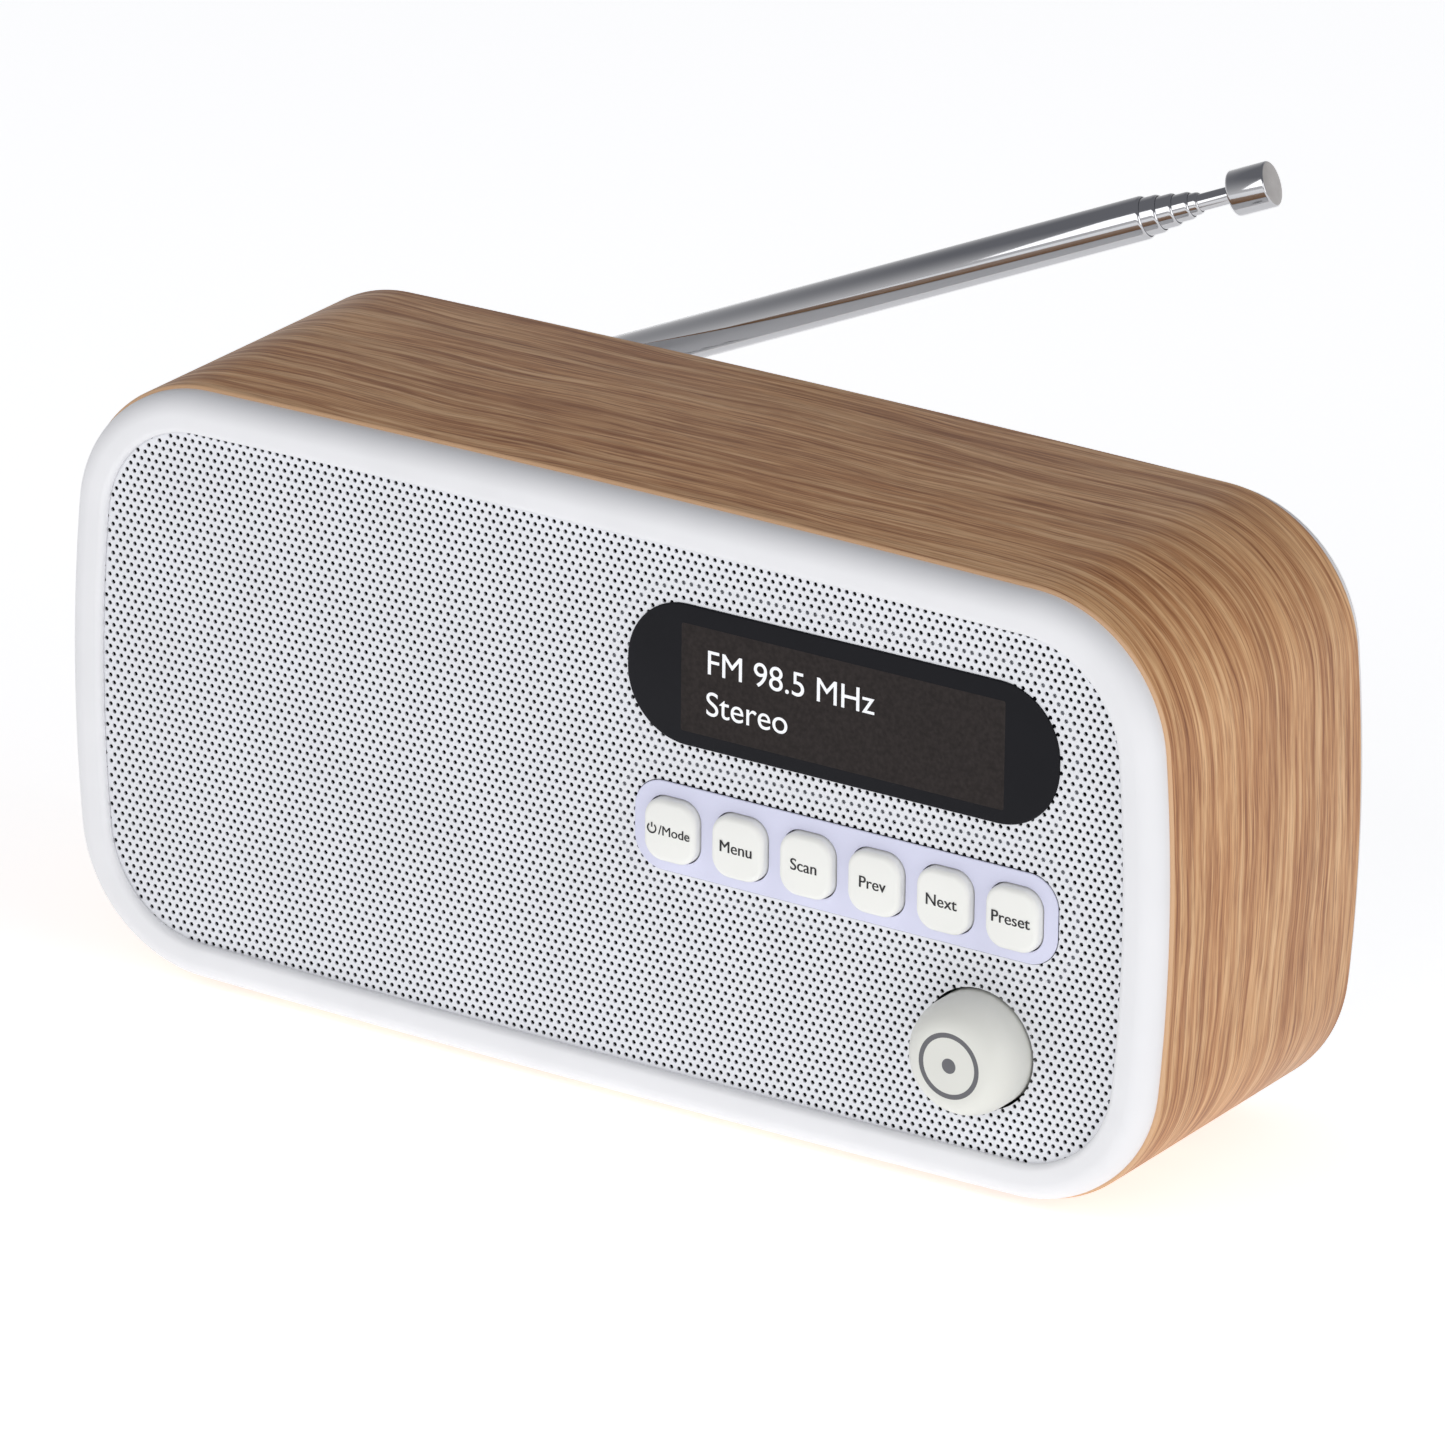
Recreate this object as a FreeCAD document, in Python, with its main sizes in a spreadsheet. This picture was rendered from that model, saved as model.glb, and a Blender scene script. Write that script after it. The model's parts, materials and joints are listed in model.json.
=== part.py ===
import FreeCAD, Part
import math
import os
import re
import Sketcher

# Tabletop radio with a bent-wood cabinet. Millimetres, +Z up, front towards -Y.
# The origin is the centre of the plane that the four feet stand on.

SIZES = {
    # wooden cabinet: a ring whose four sides bulge a little between round corners
    "body_width": 215.2, "body_height": 106.5, "cabinet_depth": 59.2,
    "side_bulge": 4.5, "crown_bulge": 1.04, "corner_radius": 25.9,
    "wood_wall": 4, "wood_edge_round": 0.5, "edge_round": 0.4,
    "foot_height": 2, "foot_radius": 6, "foot_recess": 1.2, "foot_gap": 0.1,
    "foot_span_x": 150, "foot_span_y": 36,
    # front bezel and what it holds
    "bezel_step": 0.6, "bezel_depth": 4.5, "bezel_width": 7.2, "bezel_round": 3.4,
    "bezel_lip_round": 1.1, "seat_gap": 0.2, "rim_wall": 1.3, "rim_length": 5,
    "grille_rise": 2.9, "grille_thickness": 1.2, "cloth_thickness": 0.4,
    "baffle_thickness": 3, "cutout_gap": 0.15, "flange_lap": 0.9, "opening_corner": 2,
    # display window and screen
    "display_margin": 61.2, "display_rise": 24.35, "lens_width": 82.7, "lens_height": 24.5,
    "lens_round": 11.5, "lens_proud": 0.35, "lens_edge_round": 0.2,
    "screen_width": 70, "screen_height": 23, "screen_depth": 3.2, "screen_gap": 0.5,
    "screen_step": 3, "screen_corner": 1,
    # button strip with its six buttons
    "strip_margin": 60.2, "strip_drop": 2.87, "strip_end": 2.775, "strip_height": 15.6,
    "strip_round": 5.5, "strip_proud": 0.3, "strip_edge_round": 0.15,
    "row_drop": 3.1, "button_spacing": 3.15, "row_gap": 0.35,
    "button_width": 10, "button_height": 10.8, "button_round": 3.4, "button_proud": 1.9,
    "button_edge": 1, "button_gap": 0.25, "button_lip": 0.8, "button_flange": 0.8,
    "button_travel": 0.8, "rest_gap": 0.4, "stop_gap": 0.3,
    "switch_side": 6, "switch_body": 2.2, "plunger_radius": 1.7,
    # tuning knob on its encoder
    "knob_margin": 34.2, "knob_drop": 27.7, "knob_radius": 10, "knob_taper": 0.4,
    "knob_proud": 8.9, "knob_edge": 3.6, "knob_skirt": 2.6, "knob_wall": 1.8, "knob_gap": 0.5,
    "hub_radius": 4.5, "hub_start": 2.9,
    "encoder_side": 11, "encoder_depth": 3.7, "encoder_wall": 0.8, "encoder_back": 0.4,
    "encoder_corner": 0.6, "bushing_radius": 3.7, "bushing_length": 2.5,
    "shaft_radius": 3, "shaft_gap": 0.05, "collar_radius": 4.1,
    "collar_thickness": 0.35, "push_thickness": 0.8,
    # boards
    "board_standoff": 2.7, "board_thickness": 1.6, "board_corner": 2, "board_post_radius": 3,
    "control_margin": 24.1, "control_width": 77.5, "control_top": 8.6, "control_bottom": 17,
    "control_post_margin": 4, "knob_post_reach": 16,
    "main_margin": 24.6, "main_width": 103, "main_top": 12, "main_bottom": 52,
    "main_post_margin": 5, "main_post_length": 15.75, "screw_radius": 1.2,
    "screw_head_radius": 2.4, "screw_head": 1.5, "screw_length": 6, "screw_hole_gap": 0.3,
    # parts on the main board, placed from its lower left corner, and the cable to it
    "module_left": 12, "module_rise": 8, "module_width": 34, "module_depth": 3.2,
    "module_height": 26, "chip_left": 56, "chip_rise": 10, "chip_width": 12,
    "chip_depth": 1.6, "chip_height": 9, "capacitor_left": 62, "capacitor_rise": 29,
    "capacitor_pitch": 10, "capacitor_radius": 4, "capacitor_length": 11,
    "plug_left": 54, "plug_drop": 8, "plug_width": 24, "plug_side": 5,
    "band_inset": 2, "band_thickness": 0.6,
    # speaker
    "speaker_margin": 57.5, "speaker_radius": 35, "speaker_hole": 30, "gasket_thickness": 0.8,
    "basket_flange": 1.2, "basket_depth": 14.6, "basket_wall": 1.2, "basket_back": 15,
    "basket_lap": 0.6, "basket_window": 4.6, "basket_window_ring": 22.5,
    "speaker_screw_ring": 32.8, "speaker_head_radius": 2.1, "pilot_depth": 2,
    "magnet_radius": 17, "magnet_depth": 10, "cone_radius": 25.4, "cone_wall": 0.6,
    "cone_hole": 8, "throat_radius": 9, "throat_depth": 11, "glue_gap": 0.1,
    "roll_near": 1.05, "roll_far": 2.95, "roll_rise": 1.7, "surround_thickness": 0.6,
    "cap_rise": 4, "cap_shoulder": 3, "cap_shoulder_radius": 5.4, "cap_edge": 1.3,
    "cap_thickness": 0.6,
    # rear cover
    "cover_inset": 1.5, "cover_thickness": 2, "cover_rim": 6,
    "post_side_margin": 17, "post_end_margin": 21.1, "post_radius": 4, "well_radius": 5,
    "well_depth": 5.15, "cover_screw_radius": 1.5, "cover_screw_length": 14,
    "cover_head_radius": 3, "cover_head": 1.7, "cover_head_gap": 0.3, "well_floor": 2.15,
    "vent_width": 1.6, "vent_height": 20, "vent_pitch": 4, "vent_rise": 14, "vent_round": 0.75,
    # battery bay and its door
    "bay_lift": 30, "bay_width": 116, "bay_height": 35, "bay_depth": 18.35, "bay_wall": 1.6,
    "bay_corner": 2, "bay_inner_corner": 0.5,
    "cell_radius": 7.25, "cell_length": 50.5, "cell_gap": 0.35, "cell_spacing": 3.9,
    "cell_button": 1, "cell_button_radius": 2.7,
    "contact_plate": 0.4, "contact_width": 9, "spring_radius": 3,
    "door_width": 110, "door_height": 29.8, "door_thickness": 1.8, "door_round": 0.85,
    "door_gap": 0.3, "door_inset": 0.05, "door_opening_corner": 0.6,
    "hinge_pin_radius": 0.5, "hinge_pin_length": 1.6, "hinge_gap": 0.05,
    # sockets at the back
    "socket_margin": 35.5, "inlet_rise": 13.5, "phones_rise": 27, "socket_corner": 0.8,
    "inlet_side": 10.5, "inlet_nose": 4.6, "inlet_bore": 3, "inlet_bore_depth": 9.5,
    "inlet_pin_radius": 1, "inlet_pin_length": 8.5, "phones_side": 8, "phones_nose": 3.2,
    "phones_bore": 1.8, "phones_bore_depth": 14,
    # telescopic antenna
    "pivot_margin": 46.6, "pivot_drop": 14.96, "antenna_raise": 22.15, "antenna_tilt": 13.16,
    "base_radius": 6.5, "base_thickness": 1.2, "base_sleeve": 3.6, "base_depth": 3,
    "pivot_radius": 2.5, "pivot_gap": 0.05, "turn_gap": 0.1, "turret_radius": 5.5,
    "turret_thickness": 1.2, "fork_width": 7.4, "fork_radius": 3.6, "fork_corner": 0.3,
    "elbow_pin_radius": 1.2, "tongue_width": 3, "tongue_radius": 2.6, "tongue_gap": 0.1,
    "slot_corner": 0.05, "pivot_screw_radius": 3.4, "pivot_screw_head": 1.9,
    "pivot_thread": 0.9, "pivot_thread_length": 4,
    "tube_radius": 3.7, "tube_wall": 0.4, "tube_gap": 0.05, "tube_start": 4.4,
    "tube_end": 115.1, "tube_clearance": 0.3, "plug_length": 5, "nest_step": 1,
    "ring_step": 2.77, "last_ring_step": 1.6, "rod_radius": 1.45, "rod_show": 6.1,
    "tip_radius": 3.9, "tip_length": 7,
}

# Places and radii that follow from the sizes. Heights are measured from the cabinet's middle.
PLACES = {
    "middle_z": "foot_height + body_height / 2",
    "front_y": "-cabinet_depth / 2",
    "rear_y": "cabinet_depth / 2",
    "side_radius": "((body_height / 2)^2 + side_bulge^2) / (2 * side_bulge)",
    "crown_radius": "((body_width / 2)^2 + crown_bulge^2) / (2 * crown_bulge)",
    "rim_inset": "wood_wall + seat_gap",
    "seat_inset": "rim_inset + rim_wall",
    "plate_inset": "seat_inset + seat_gap",
    "cloth_front": "grille_thickness - grille_rise",
    "baffle_front": "cloth_front + cloth_thickness",
    "baffle_back": "baffle_front + baffle_thickness",
    "board_front": "baffle_back + board_standoff",
    "board_back": "board_front + board_thickness",
    "display_x": "body_width / 2 - display_margin",
    "button_pitch": "button_width + button_spacing",
    "strip_x": "body_width / 2 - strip_margin",
    "strip_width": "5 * button_pitch + button_width + 2 * strip_end",
    "knob_x": "body_width / 2 - knob_margin",
    "speaker_x": "speaker_margin - body_width / 2",
    "post_x": "body_width / 2 - post_side_margin",
    "post_z": "body_height / 2 - post_end_margin",
    "flange_front": "baffle_front + rest_gap",
    "flange_back": "flange_front + button_flange",
    "switch_tip": "flange_back + button_travel + stop_gap",
    "gasket_front": "baffle_back",
    "basket_front": "gasket_front + gasket_thickness",
    "basket_end": "basket_front + basket_flange + basket_depth",
    "basket_rim": "speaker_hole - basket_lap",
    "control_right": "body_width / 2 - control_margin",
    "control_left": "control_right - control_width",
    "control_high": "body_height / 2 - control_top",
    "control_low": "control_bottom - body_height / 2",
    "main_right": "body_width / 2 - main_margin",
    "main_left": "main_right - main_width",
    "main_high": "body_height / 2 - main_top",
    "main_low": "main_bottom - body_height / 2",
    "main_back": "-main_post_length",
    "main_front": "main_back - board_thickness",
    "bay_z": "bay_lift - body_height / 2",
    "cell_y": "rear_y - bay_depth + bay_wall + cell_radius + cell_gap",
    "hinge_y": "cover_thickness - door_thickness / 2 - door_inset",
    "hinge_z": "bay_z - door_height / 2 + door_thickness / 2",
    "socket_x": "body_width / 2 - socket_margin",
    "pivot_x": "pivot_margin - body_width / 2",
    "pivot_z": "body_height / 2 - pivot_drop",
    "turret_front": "cover_thickness + base_thickness + turn_gap",
    "turret_back": "turret_front + turret_thickness",
    "elbow_y": "turret_back + tube_clearance + tube_radius",
    "encoder_front": "board_front - encoder_depth",
    "knob_front": "-grille_rise - knob_proud",
    "knob_back": "knob_skirt - grille_rise",
    "knob_hollow": "knob_radius - knob_wall",
    "shaft_tip": "knob_front + knob_wall + stop_gap",
    "collar_front": "encoder_front + encoder_wall + shaft_gap",
    "collar_back": "collar_front + collar_thickness",
    "push_front": "collar_back + stop_gap",
}

BUTTONS = ("button_power", "button_menu", "button_scan", "button_previous", "button_next",
           "button_preset")
CORNERS = ((-1, -1), (1, -1), (1, 1), (-1, 1))
CAPACITORS = 3
TUBES = 5
VENTS = 9

doc = FreeCAD.newDocument("TabletopRadio")
sheet = doc.addObject("Spreadsheet::Sheet", "Sizes")
for row, (alias, amount) in enumerate(SIZES.items(), 1):
    sheet.set("A%d" % row, alias)
    sheet.set("B%d" % row, str(amount))
    sheet.setAlias("B%d" % row, alias)
doc.recompute()


# ---- sizes and expressions ----

def spelled(text, amount):
    """The formula with each place written out and each size replaced by amount(name)."""
    def spell(found):
        word = found.group()
        if word in PLACES:
            return "(" + spelled(PLACES[word], amount) + ")"
        return amount(word) if word in SIZES else word
    return re.sub(r"[a-z][a-z_]*", spell, str(text))


def formula(text):
    return spelled(text, lambda name: "Sizes." + name)


def number(text):
    return FreeCAD.Units.Quantity(spelled(text, lambda name: "(%r)" % sheet.get(name))).Value


def bind(thing, **values):
    for path, text in values.items():
        thing.setExpression(path.replace("__", "."), formula(text))


def place(thing, x="0", y="0", z="0", turn=None):
    if turn:
        thing.Placement = FreeCAD.Placement(FreeCAD.Vector(), turn)
    bind(thing, Placement__Base__x=x, Placement__Base__y=y, Placement__Base__z=z)


ALONG_X = FreeCAD.Rotation(FreeCAD.Vector(0, 1, 0), 90)
ALONG_Y = FreeCAD.Rotation(FreeCAD.Vector(1, 0, 0), -90)
RAISED = FreeCAD.Rotation(FreeCAD.Vector(0, 1, 0), -SIZES["antenna_raise"])
AIMED = RAISED.multiply(FreeCAD.Rotation(FreeCAD.Vector(0, 0, 1), SIZES["antenna_tilt"]))


# ---- sketch profiles: each adds one closed loop to a sketch ----

def dimension(sketch, kind, *places, text):
    """A driving constraint whose value follows the formula."""
    index = sketch.addConstraint(Sketcher.Constraint(kind, *places, number(text)))
    bind(sketch, **{"Constraints[%d]" % index: text})


def locate(sketch, geometry, point, x, z):
    dimension(sketch, "DistanceX", -1, 1, geometry, point, text=x)
    dimension(sketch, "DistanceY", -1, 1, geometry, point, text=z)


def join(sketch, pieces):
    for piece, follower in zip(pieces, pieces[1:] + pieces[:1]):
        sketch.addConstraint(Sketcher.Constraint("Tangent", piece, 2, follower, 1))


def arc(x, z, radius, start, end):
    circle = Part.Circle(FreeCAD.Vector(x, z, 0), FreeCAD.Vector(0, 0, 1), radius)
    return Part.ArcOfCircle(circle, start, end)


def corner_centre():
    """Centre of the upper right corner arc, where it touches both the side and the crown."""
    side, crown, corner = (number(name) for name in ("side_radius", "crown_radius",
                                                     "corner_radius"))
    side_x = number("body_width") / 2 - side
    crown_z = number("body_height") / 2 - crown
    near, far = crown - corner, side - corner
    span = math.hypot(side_x, crown_z)
    along = (near * near - far * far + span * span) / (2 * span)
    off = math.sqrt(near * near - along * along)
    return ((side_x * along - crown_z * off) / span,
            crown_z - (crown_z * along + side_x * off) / span)


def outline(inset):
    """The cabinet's outline, moved in by the inset: four bulging sides, four round corners."""
    def draw(sketch):
        inner = number(inset)
        side, crown = number("side_radius"), number("crown_radius")
        side_x = side - number("body_width") / 2
        crown_z = crown - number("body_height") / 2
        corner_x, corner_z = corner_centre()
        lean = math.atan2(corner_z, corner_x + side_x)
        rise = math.atan2(corner_x, corner_z + crown_z)
        quarter = math.pi / 2
        radius = number("corner_radius") - inner
        loop = sketch.addGeometry([
            arc(-side_x, 0, side - inner, -lean, lean),
            arc(corner_x, corner_z, radius, lean, quarter - rise),
            arc(0, -crown_z, crown - inner, quarter - rise, quarter + rise),
            arc(-corner_x, corner_z, radius, quarter + rise, 2 * quarter - lean),
            arc(side_x, 0, side - inner, 2 * quarter - lean, 2 * quarter + lean),
            arc(-corner_x, -corner_z, radius, 2 * quarter + lean, 3 * quarter - rise),
            arc(0, crown_z, crown - inner, 3 * quarter - rise, 3 * quarter + rise),
            arc(corner_x, -corner_z, radius, 3 * quarter + rise, 4 * quarter - lean)])
        loop = list(loop)
        join(sketch, loop)
        for first, others in ((0, (4,)), (2, (6,)), (1, (3, 5, 7))):
            for other in others:
                sketch.addConstraint(Sketcher.Constraint("Equal", loop[first], loop[other]))
        for index, axis in ((0, -1), (4, -1), (2, -2), (6, -2)):
            sketch.addConstraint(Sketcher.Constraint("PointOnObject", loop[index], 3, axis))
        half_width = "side_radius - body_width / 2"
        half_height = "crown_radius - body_height / 2"
        dimension(sketch, "DistanceX", loop[0], 3, -1, 1, text=half_width)
        dimension(sketch, "DistanceX", -1, 1, loop[4], 3, text=half_width)
        dimension(sketch, "DistanceY", loop[2], 3, -1, 1, text=half_height)
        dimension(sketch, "DistanceY", -1, 1, loop[6], 3, text=half_height)
        for index, name in ((0, "side_radius"), (2, "crown_radius"), (1, "corner_radius")):
            dimension(sketch, "Radius", loop[index], text="%s - (%s)" % (name, inset))
    return draw


def rounded(width, height, radius, x="0", z="0"):
    """A rectangle with round corners, centred on x, z."""
    def draw(sketch):
        half_w, half_h = number(width) / 2, number(height) / 2
        corner, x_mid, z_mid = number(radius), number(x), number(z)
        flat_w, flat_h = half_w - corner, half_h - corner
        quarter = math.pi / 2

        def line(x_a, z_a, x_b, z_b):
            return Part.LineSegment(FreeCAD.Vector(x_mid + x_a, z_mid + z_a, 0),
                                    FreeCAD.Vector(x_mid + x_b, z_mid + z_b, 0))

        def turn(sign_x, sign_z, start):
            return arc(x_mid + sign_x * flat_w, z_mid + sign_z * flat_h, corner,
                       start, start + quarter)
        loop = list(sketch.addGeometry([
            line(-flat_w, -half_h, flat_w, -half_h), turn(1, -1, -quarter),
            line(half_w, -flat_h, half_w, flat_h), turn(1, 1, 0),
            line(flat_w, half_h, -flat_w, half_h), turn(-1, 1, quarter),
            line(-half_w, flat_h, -half_w, -flat_h), turn(-1, -1, 2 * quarter)]))
        join(sketch, loop)
        for index, kind in ((0, "Horizontal"), (4, "Horizontal"), (2, "Vertical"),
                            (6, "Vertical")):
            sketch.addConstraint(Sketcher.Constraint(kind, loop[index]))
        for index in (3, 5, 7):
            sketch.addConstraint(Sketcher.Constraint("Equal", loop[1], loop[index]))
        dimension(sketch, "Radius", loop[1], text=radius)
        left = "%s - (%s) / 2 + (%s)" % (x, width, radius)
        right = "%s + (%s) / 2 - (%s)" % (x, width, radius)
        low = "%s - (%s) / 2 + (%s)" % (z, height, radius)
        high = "%s + (%s) / 2 - (%s)" % (z, height, radius)
        locate(sketch, loop[7], 3, left, low)
        locate(sketch, loop[3], 3, right, high)
    return draw


def circle(radius, x="0", z="0"):
    def draw(sketch):
        middle = FreeCAD.Vector(number(x), number(z), 0)
        index = sketch.addGeometry(Part.Circle(middle, FreeCAD.Vector(0, 0, 1), number(radius)))
        dimension(sketch, "Radius", index, text=radius)
        if x == "0" and z == "0":
            sketch.addConstraint(Sketcher.Constraint("Coincident", index, 3, -1, 1))
        else:
            locate(sketch, index, 3, x, z)
    return draw


def polygon(*corners):
    """Straight lines from corner to corner. A corner at x = 0 stays on the turning axis."""
    def draw(sketch):
        points = [FreeCAD.Vector(number(x), number(z), 0) for x, z in corners]
        loop = list(sketch.addGeometry([Part.LineSegment(a, b) for a, b in
                                        zip(points, points[1:] + points[:1])]))
        for piece, follower in zip(loop, loop[1:] + loop[:1]):
            sketch.addConstraint(Sketcher.Constraint("Coincident", piece, 2, follower, 1))
        for piece, (x, z) in zip(loop, corners):
            if x == "0":
                sketch.addConstraint(Sketcher.Constraint("PointOnObject", piece, 1, -2))
            else:
                dimension(sketch, "DistanceX", -1, 1, piece, 1, text=x)
            if z == "0":
                sketch.addConstraint(Sketcher.Constraint("PointOnObject", piece, 1, -1))
            else:
                dimension(sketch, "DistanceY", -1, 1, piece, 1, text=z)
    return draw


# ---- features of a body ----

FACING = {"XZ_Plane": -1, "YZ_Plane": 1, "XY_Plane": 1}


def new_body(label, x="0", y="0", z="0", turn=None):
    body = doc.addObject("PartDesign::Body", label)
    place(body, x, y, z, turn)
    return body


def draw_on(body, plane, start, profiles):
    sketch = body.newObject("Sketcher::SketchObject", "Profile")
    origin = [item for item in body.Origin.OriginFeatures if item.Role == plane][0]
    sketch.AttachmentSupport = [(origin, "")]
    sketch.MapMode = "FlatFace"
    bind(sketch, AttachmentOffset__Base__z="%d * (%s)" % (FACING[plane], start))
    for profile in profiles:
        profile(sketch)
    return sketch


def pad(body, start, length, *profiles, plane="XZ_Plane"):
    """Adds the profiles from start, over length, along +Y, +X or +Z."""
    feature = body.newObject("PartDesign::Pad", "Pad")
    feature.Profile = draw_on(body, plane, start, profiles)
    feature.Reversed = FACING[plane] < 0
    bind(feature, Length=length)
    doc.recompute()
    return feature


def pocket(body, start, length, *profiles, plane="XZ_Plane"):
    """Cuts the profiles out from start, over length, along +Y, +X or +Z."""
    before = body.Shape.Volume
    feature = body.newObject("PartDesign::Pocket", "Pocket")
    feature.Profile = draw_on(body, plane, start, profiles)
    feature.Reversed = FACING[plane] > 0
    bind(feature, Length=length)
    doc.recompute()
    if body.Shape.Volume > before - 1e-3:
        raise RuntimeError("nothing cut from " + body.Label)
    return feature


def revolve(body, *profiles, plane="XY_Plane"):
    feature = body.newObject("PartDesign::Revolution", "Turned")
    feature.Profile = draw_on(body, plane, "0", profiles)
    feature.ReferenceAxis = (feature.Profile[0], ["V_Axis"])
    feature.Angle = 360
    doc.recompute()
    return feature


def round_rim(body, level, radius, rim="outer", along="y"):
    """Rounds the outer or the inner rim of the flat face at a level along one axis."""
    base = body.Tip
    shape = base.Shape
    normal = "xyz".index(along)

    def flat_at(face):
        box = face.BoundBox
        low = (box.XMin, box.YMin, box.ZMin)[normal]
        high = (box.XMax, box.YMax, box.ZMax)[normal]
        return max(abs(low - number(level)), abs(high - number(level))) < 1e-4
    names = []
    for face in filter(flat_at, shape.Faces):
        for wire in face.Wires:
            if wire.isSame(face.OuterWire) == (rim == "outer"):
                names += ["Edge%d" % index for index, edge in enumerate(shape.Edges, 1)
                          if any(edge.isSame(other) for other in wire.Edges)]
    feature = body.newObject("PartDesign::Fillet", "Round")
    feature.Base = (base, names)
    bind(feature, Radius=radius)
    doc.recompute()
    return feature


# ---- plain solids, for what sits inside ----

def block(label, corner, size):
    solid = doc.addObject("Part::Box", label)
    bind(solid, Length=size[0], Width=size[1], Height=size[2])
    place(solid, *corner)
    return solid


def drum(label, radius, length, x, y, z, turn=ALONG_Y):
    solid = doc.addObject("Part::Cylinder", label)
    bind(solid, Radius=radius, Height=length)
    place(solid, x, y, z, turn)
    return solid


def together(label, solids):
    """Several solids in one sub-part, whether they touch or not."""
    group = doc.addObject("Part::MultiFuse", label)
    group.Shapes = solids
    return group


# ---- cabinet, feet, bezel ----

def cabinet_sleeve():
    body = new_body("cabinet_sleeve", y="front_y", z="middle_z")
    pad(body, "0", "cabinet_depth", outline("0"), outline("wood_wall"))
    round_rim(body, "0", "wood_edge_round")
    round_rim(body, "cabinet_depth", "wood_edge_round")
    for sign_x, sign_y in CORNERS:
        pocket(body, "-middle_z", "foot_height + foot_recess",
               circle("foot_radius + foot_gap", "%d * foot_span_x / 2" % sign_x,
                      "cabinet_depth / 2 + %d * foot_span_y / 2" % sign_y), plane="XY_Plane")
    return [body]


def feet():
    made = []
    for (sign_x, sign_y), name in zip(CORNERS, ("front_left", "front_right", "rear_right",
                                                "rear_left")):
        body = new_body("foot_" + name, "%d * foot_span_x / 2" % sign_x,
                        "%d * foot_span_y / 2" % sign_y)
        pad(body, "0", "foot_height + foot_recess", circle("foot_radius"), plane="XY_Plane")
        round_rim(body, "0", "edge_round", along="z")
        made.append(body)
    return made


def front_bezel():
    body = new_body("front_bezel", y="front_y", z="middle_z")
    pad(body, "-bezel_depth", "bezel_depth", outline("bezel_step"), outline("bezel_width"))
    round_rim(body, "-bezel_depth", "bezel_round")
    round_rim(body, "-bezel_depth", "bezel_lip_round", "inner")
    pocket(body, "-grille_rise", "grille_rise", outline("seat_inset"))
    pad(body, "0", "rim_length", outline("rim_inset"), outline("seat_inset"))
    return [body]


def lens_cutout(gap):
    return rounded("lens_width - 2 * flange_lap + 2 * (%s)" % gap,
                   "lens_height - 2 * flange_lap + 2 * (%s)" % gap,
                   "lens_round - flange_lap + (%s)" % gap, "display_x", "display_rise")


def strip_cutout(gap):
    return rounded("strip_width - 2 * flange_lap + 2 * (%s)" % gap,
                   "strip_height - 2 * flange_lap + 2 * (%s)" % gap,
                   "strip_round - flange_lap + (%s)" % gap, "strip_x", "-strip_drop")


def front_sheet(label, front, thickness):
    """A sheet that fills the bezel, open for the display, the strip and the knob."""
    body = new_body(label, y="front_y", z="middle_z")
    pad(body, front, thickness, outline("plate_inset"))
    pocket(body, front, thickness, lens_cutout("cutout_gap"), strip_cutout("cutout_gap"),
           circle("knob_radius + knob_gap", "knob_x", "-knob_drop"))
    return body


def speaker_grille():
    return [front_sheet("speaker_grille", "-grille_rise", "grille_thickness")]


def grille_cloth():
    return [front_sheet("grille_cloth", "cloth_front", "cloth_thickness")]


def board_posts():
    """Where the control board's four posts stand."""
    left, low = "control_left + control_post_margin", "control_low + control_post_margin"
    right, high = "control_right - control_post_margin", "control_high - control_post_margin"
    return [(left, high), (right, high), (left, low), ("knob_x - knob_post_reach", low)]


def ring_places(radius, count, start):
    """Formulas of points spaced evenly on a ring round the speaker's axis."""
    places = []
    for index in range(count):
        angle = math.radians(start + 360 * index / count)
        places.append(("speaker_x + %s * %.6f" % (radius, math.cos(angle)),
                       "%s * %.6f" % (radius, math.sin(angle))))
    return places


def speaker_baffle():
    body = new_body("speaker_baffle", y="front_y", z="middle_z")
    pad(body, "baffle_front", "baffle_thickness", outline("plate_inset"))
    for x, z in board_posts():
        pad(body, "baffle_back", "board_standoff", circle("board_post_radius", x, z))
    for sign_x, sign_z in CORNERS:
        pad(body, "baffle_back", "cabinet_depth - baffle_back - well_depth",
            circle("post_radius", "%d * post_x" % sign_x, "%d * post_z" % sign_z))
        pocket(body, "cabinet_depth - well_depth - cover_screw_length",
               "cover_screw_length", circle("cover_screw_radius", "%d * post_x" % sign_x,
                                            "%d * post_z" % sign_z))
    window = rounded("screen_width + 2 * screen_gap", "screen_height + 2 * screen_gap",
                     "opening_corner", "display_x", "display_rise")
    row = rounded("%d * button_pitch + button_width + 2 * (button_lip + row_gap)"
                  % (len(BUTTONS) - 1), "button_height + 2 * (button_lip + row_gap)",
                  "opening_corner", "strip_x", "-row_drop")
    pocket(body, "baffle_front", "baffle_thickness", window, row,
           circle("speaker_hole", "speaker_x"),
           circle("knob_radius + knob_gap", "knob_x", "-knob_drop"))
    for x, z in board_posts():
        pocket(body, "board_front - screw_length + board_thickness",
               "screw_length - board_thickness", circle("screw_radius", x, z))
    for x, z in ring_places("speaker_screw_ring", 4, 45):
        pocket(body, "baffle_back - pilot_depth", "pilot_depth", circle("screw_radius", x, z))
    return [body]


def display_lens():
    body = new_body("display_lens", y="front_y", z="middle_z")
    pad(body, "-grille_rise - lens_proud", "lens_proud",
        rounded("lens_width", "lens_height", "lens_round", "display_x", "display_rise"))
    pad(body, "-grille_rise", "grille_thickness + cloth_thickness", lens_cutout("0"))
    round_rim(body, "-grille_rise - lens_proud", "lens_edge_round")
    return [body]


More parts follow.
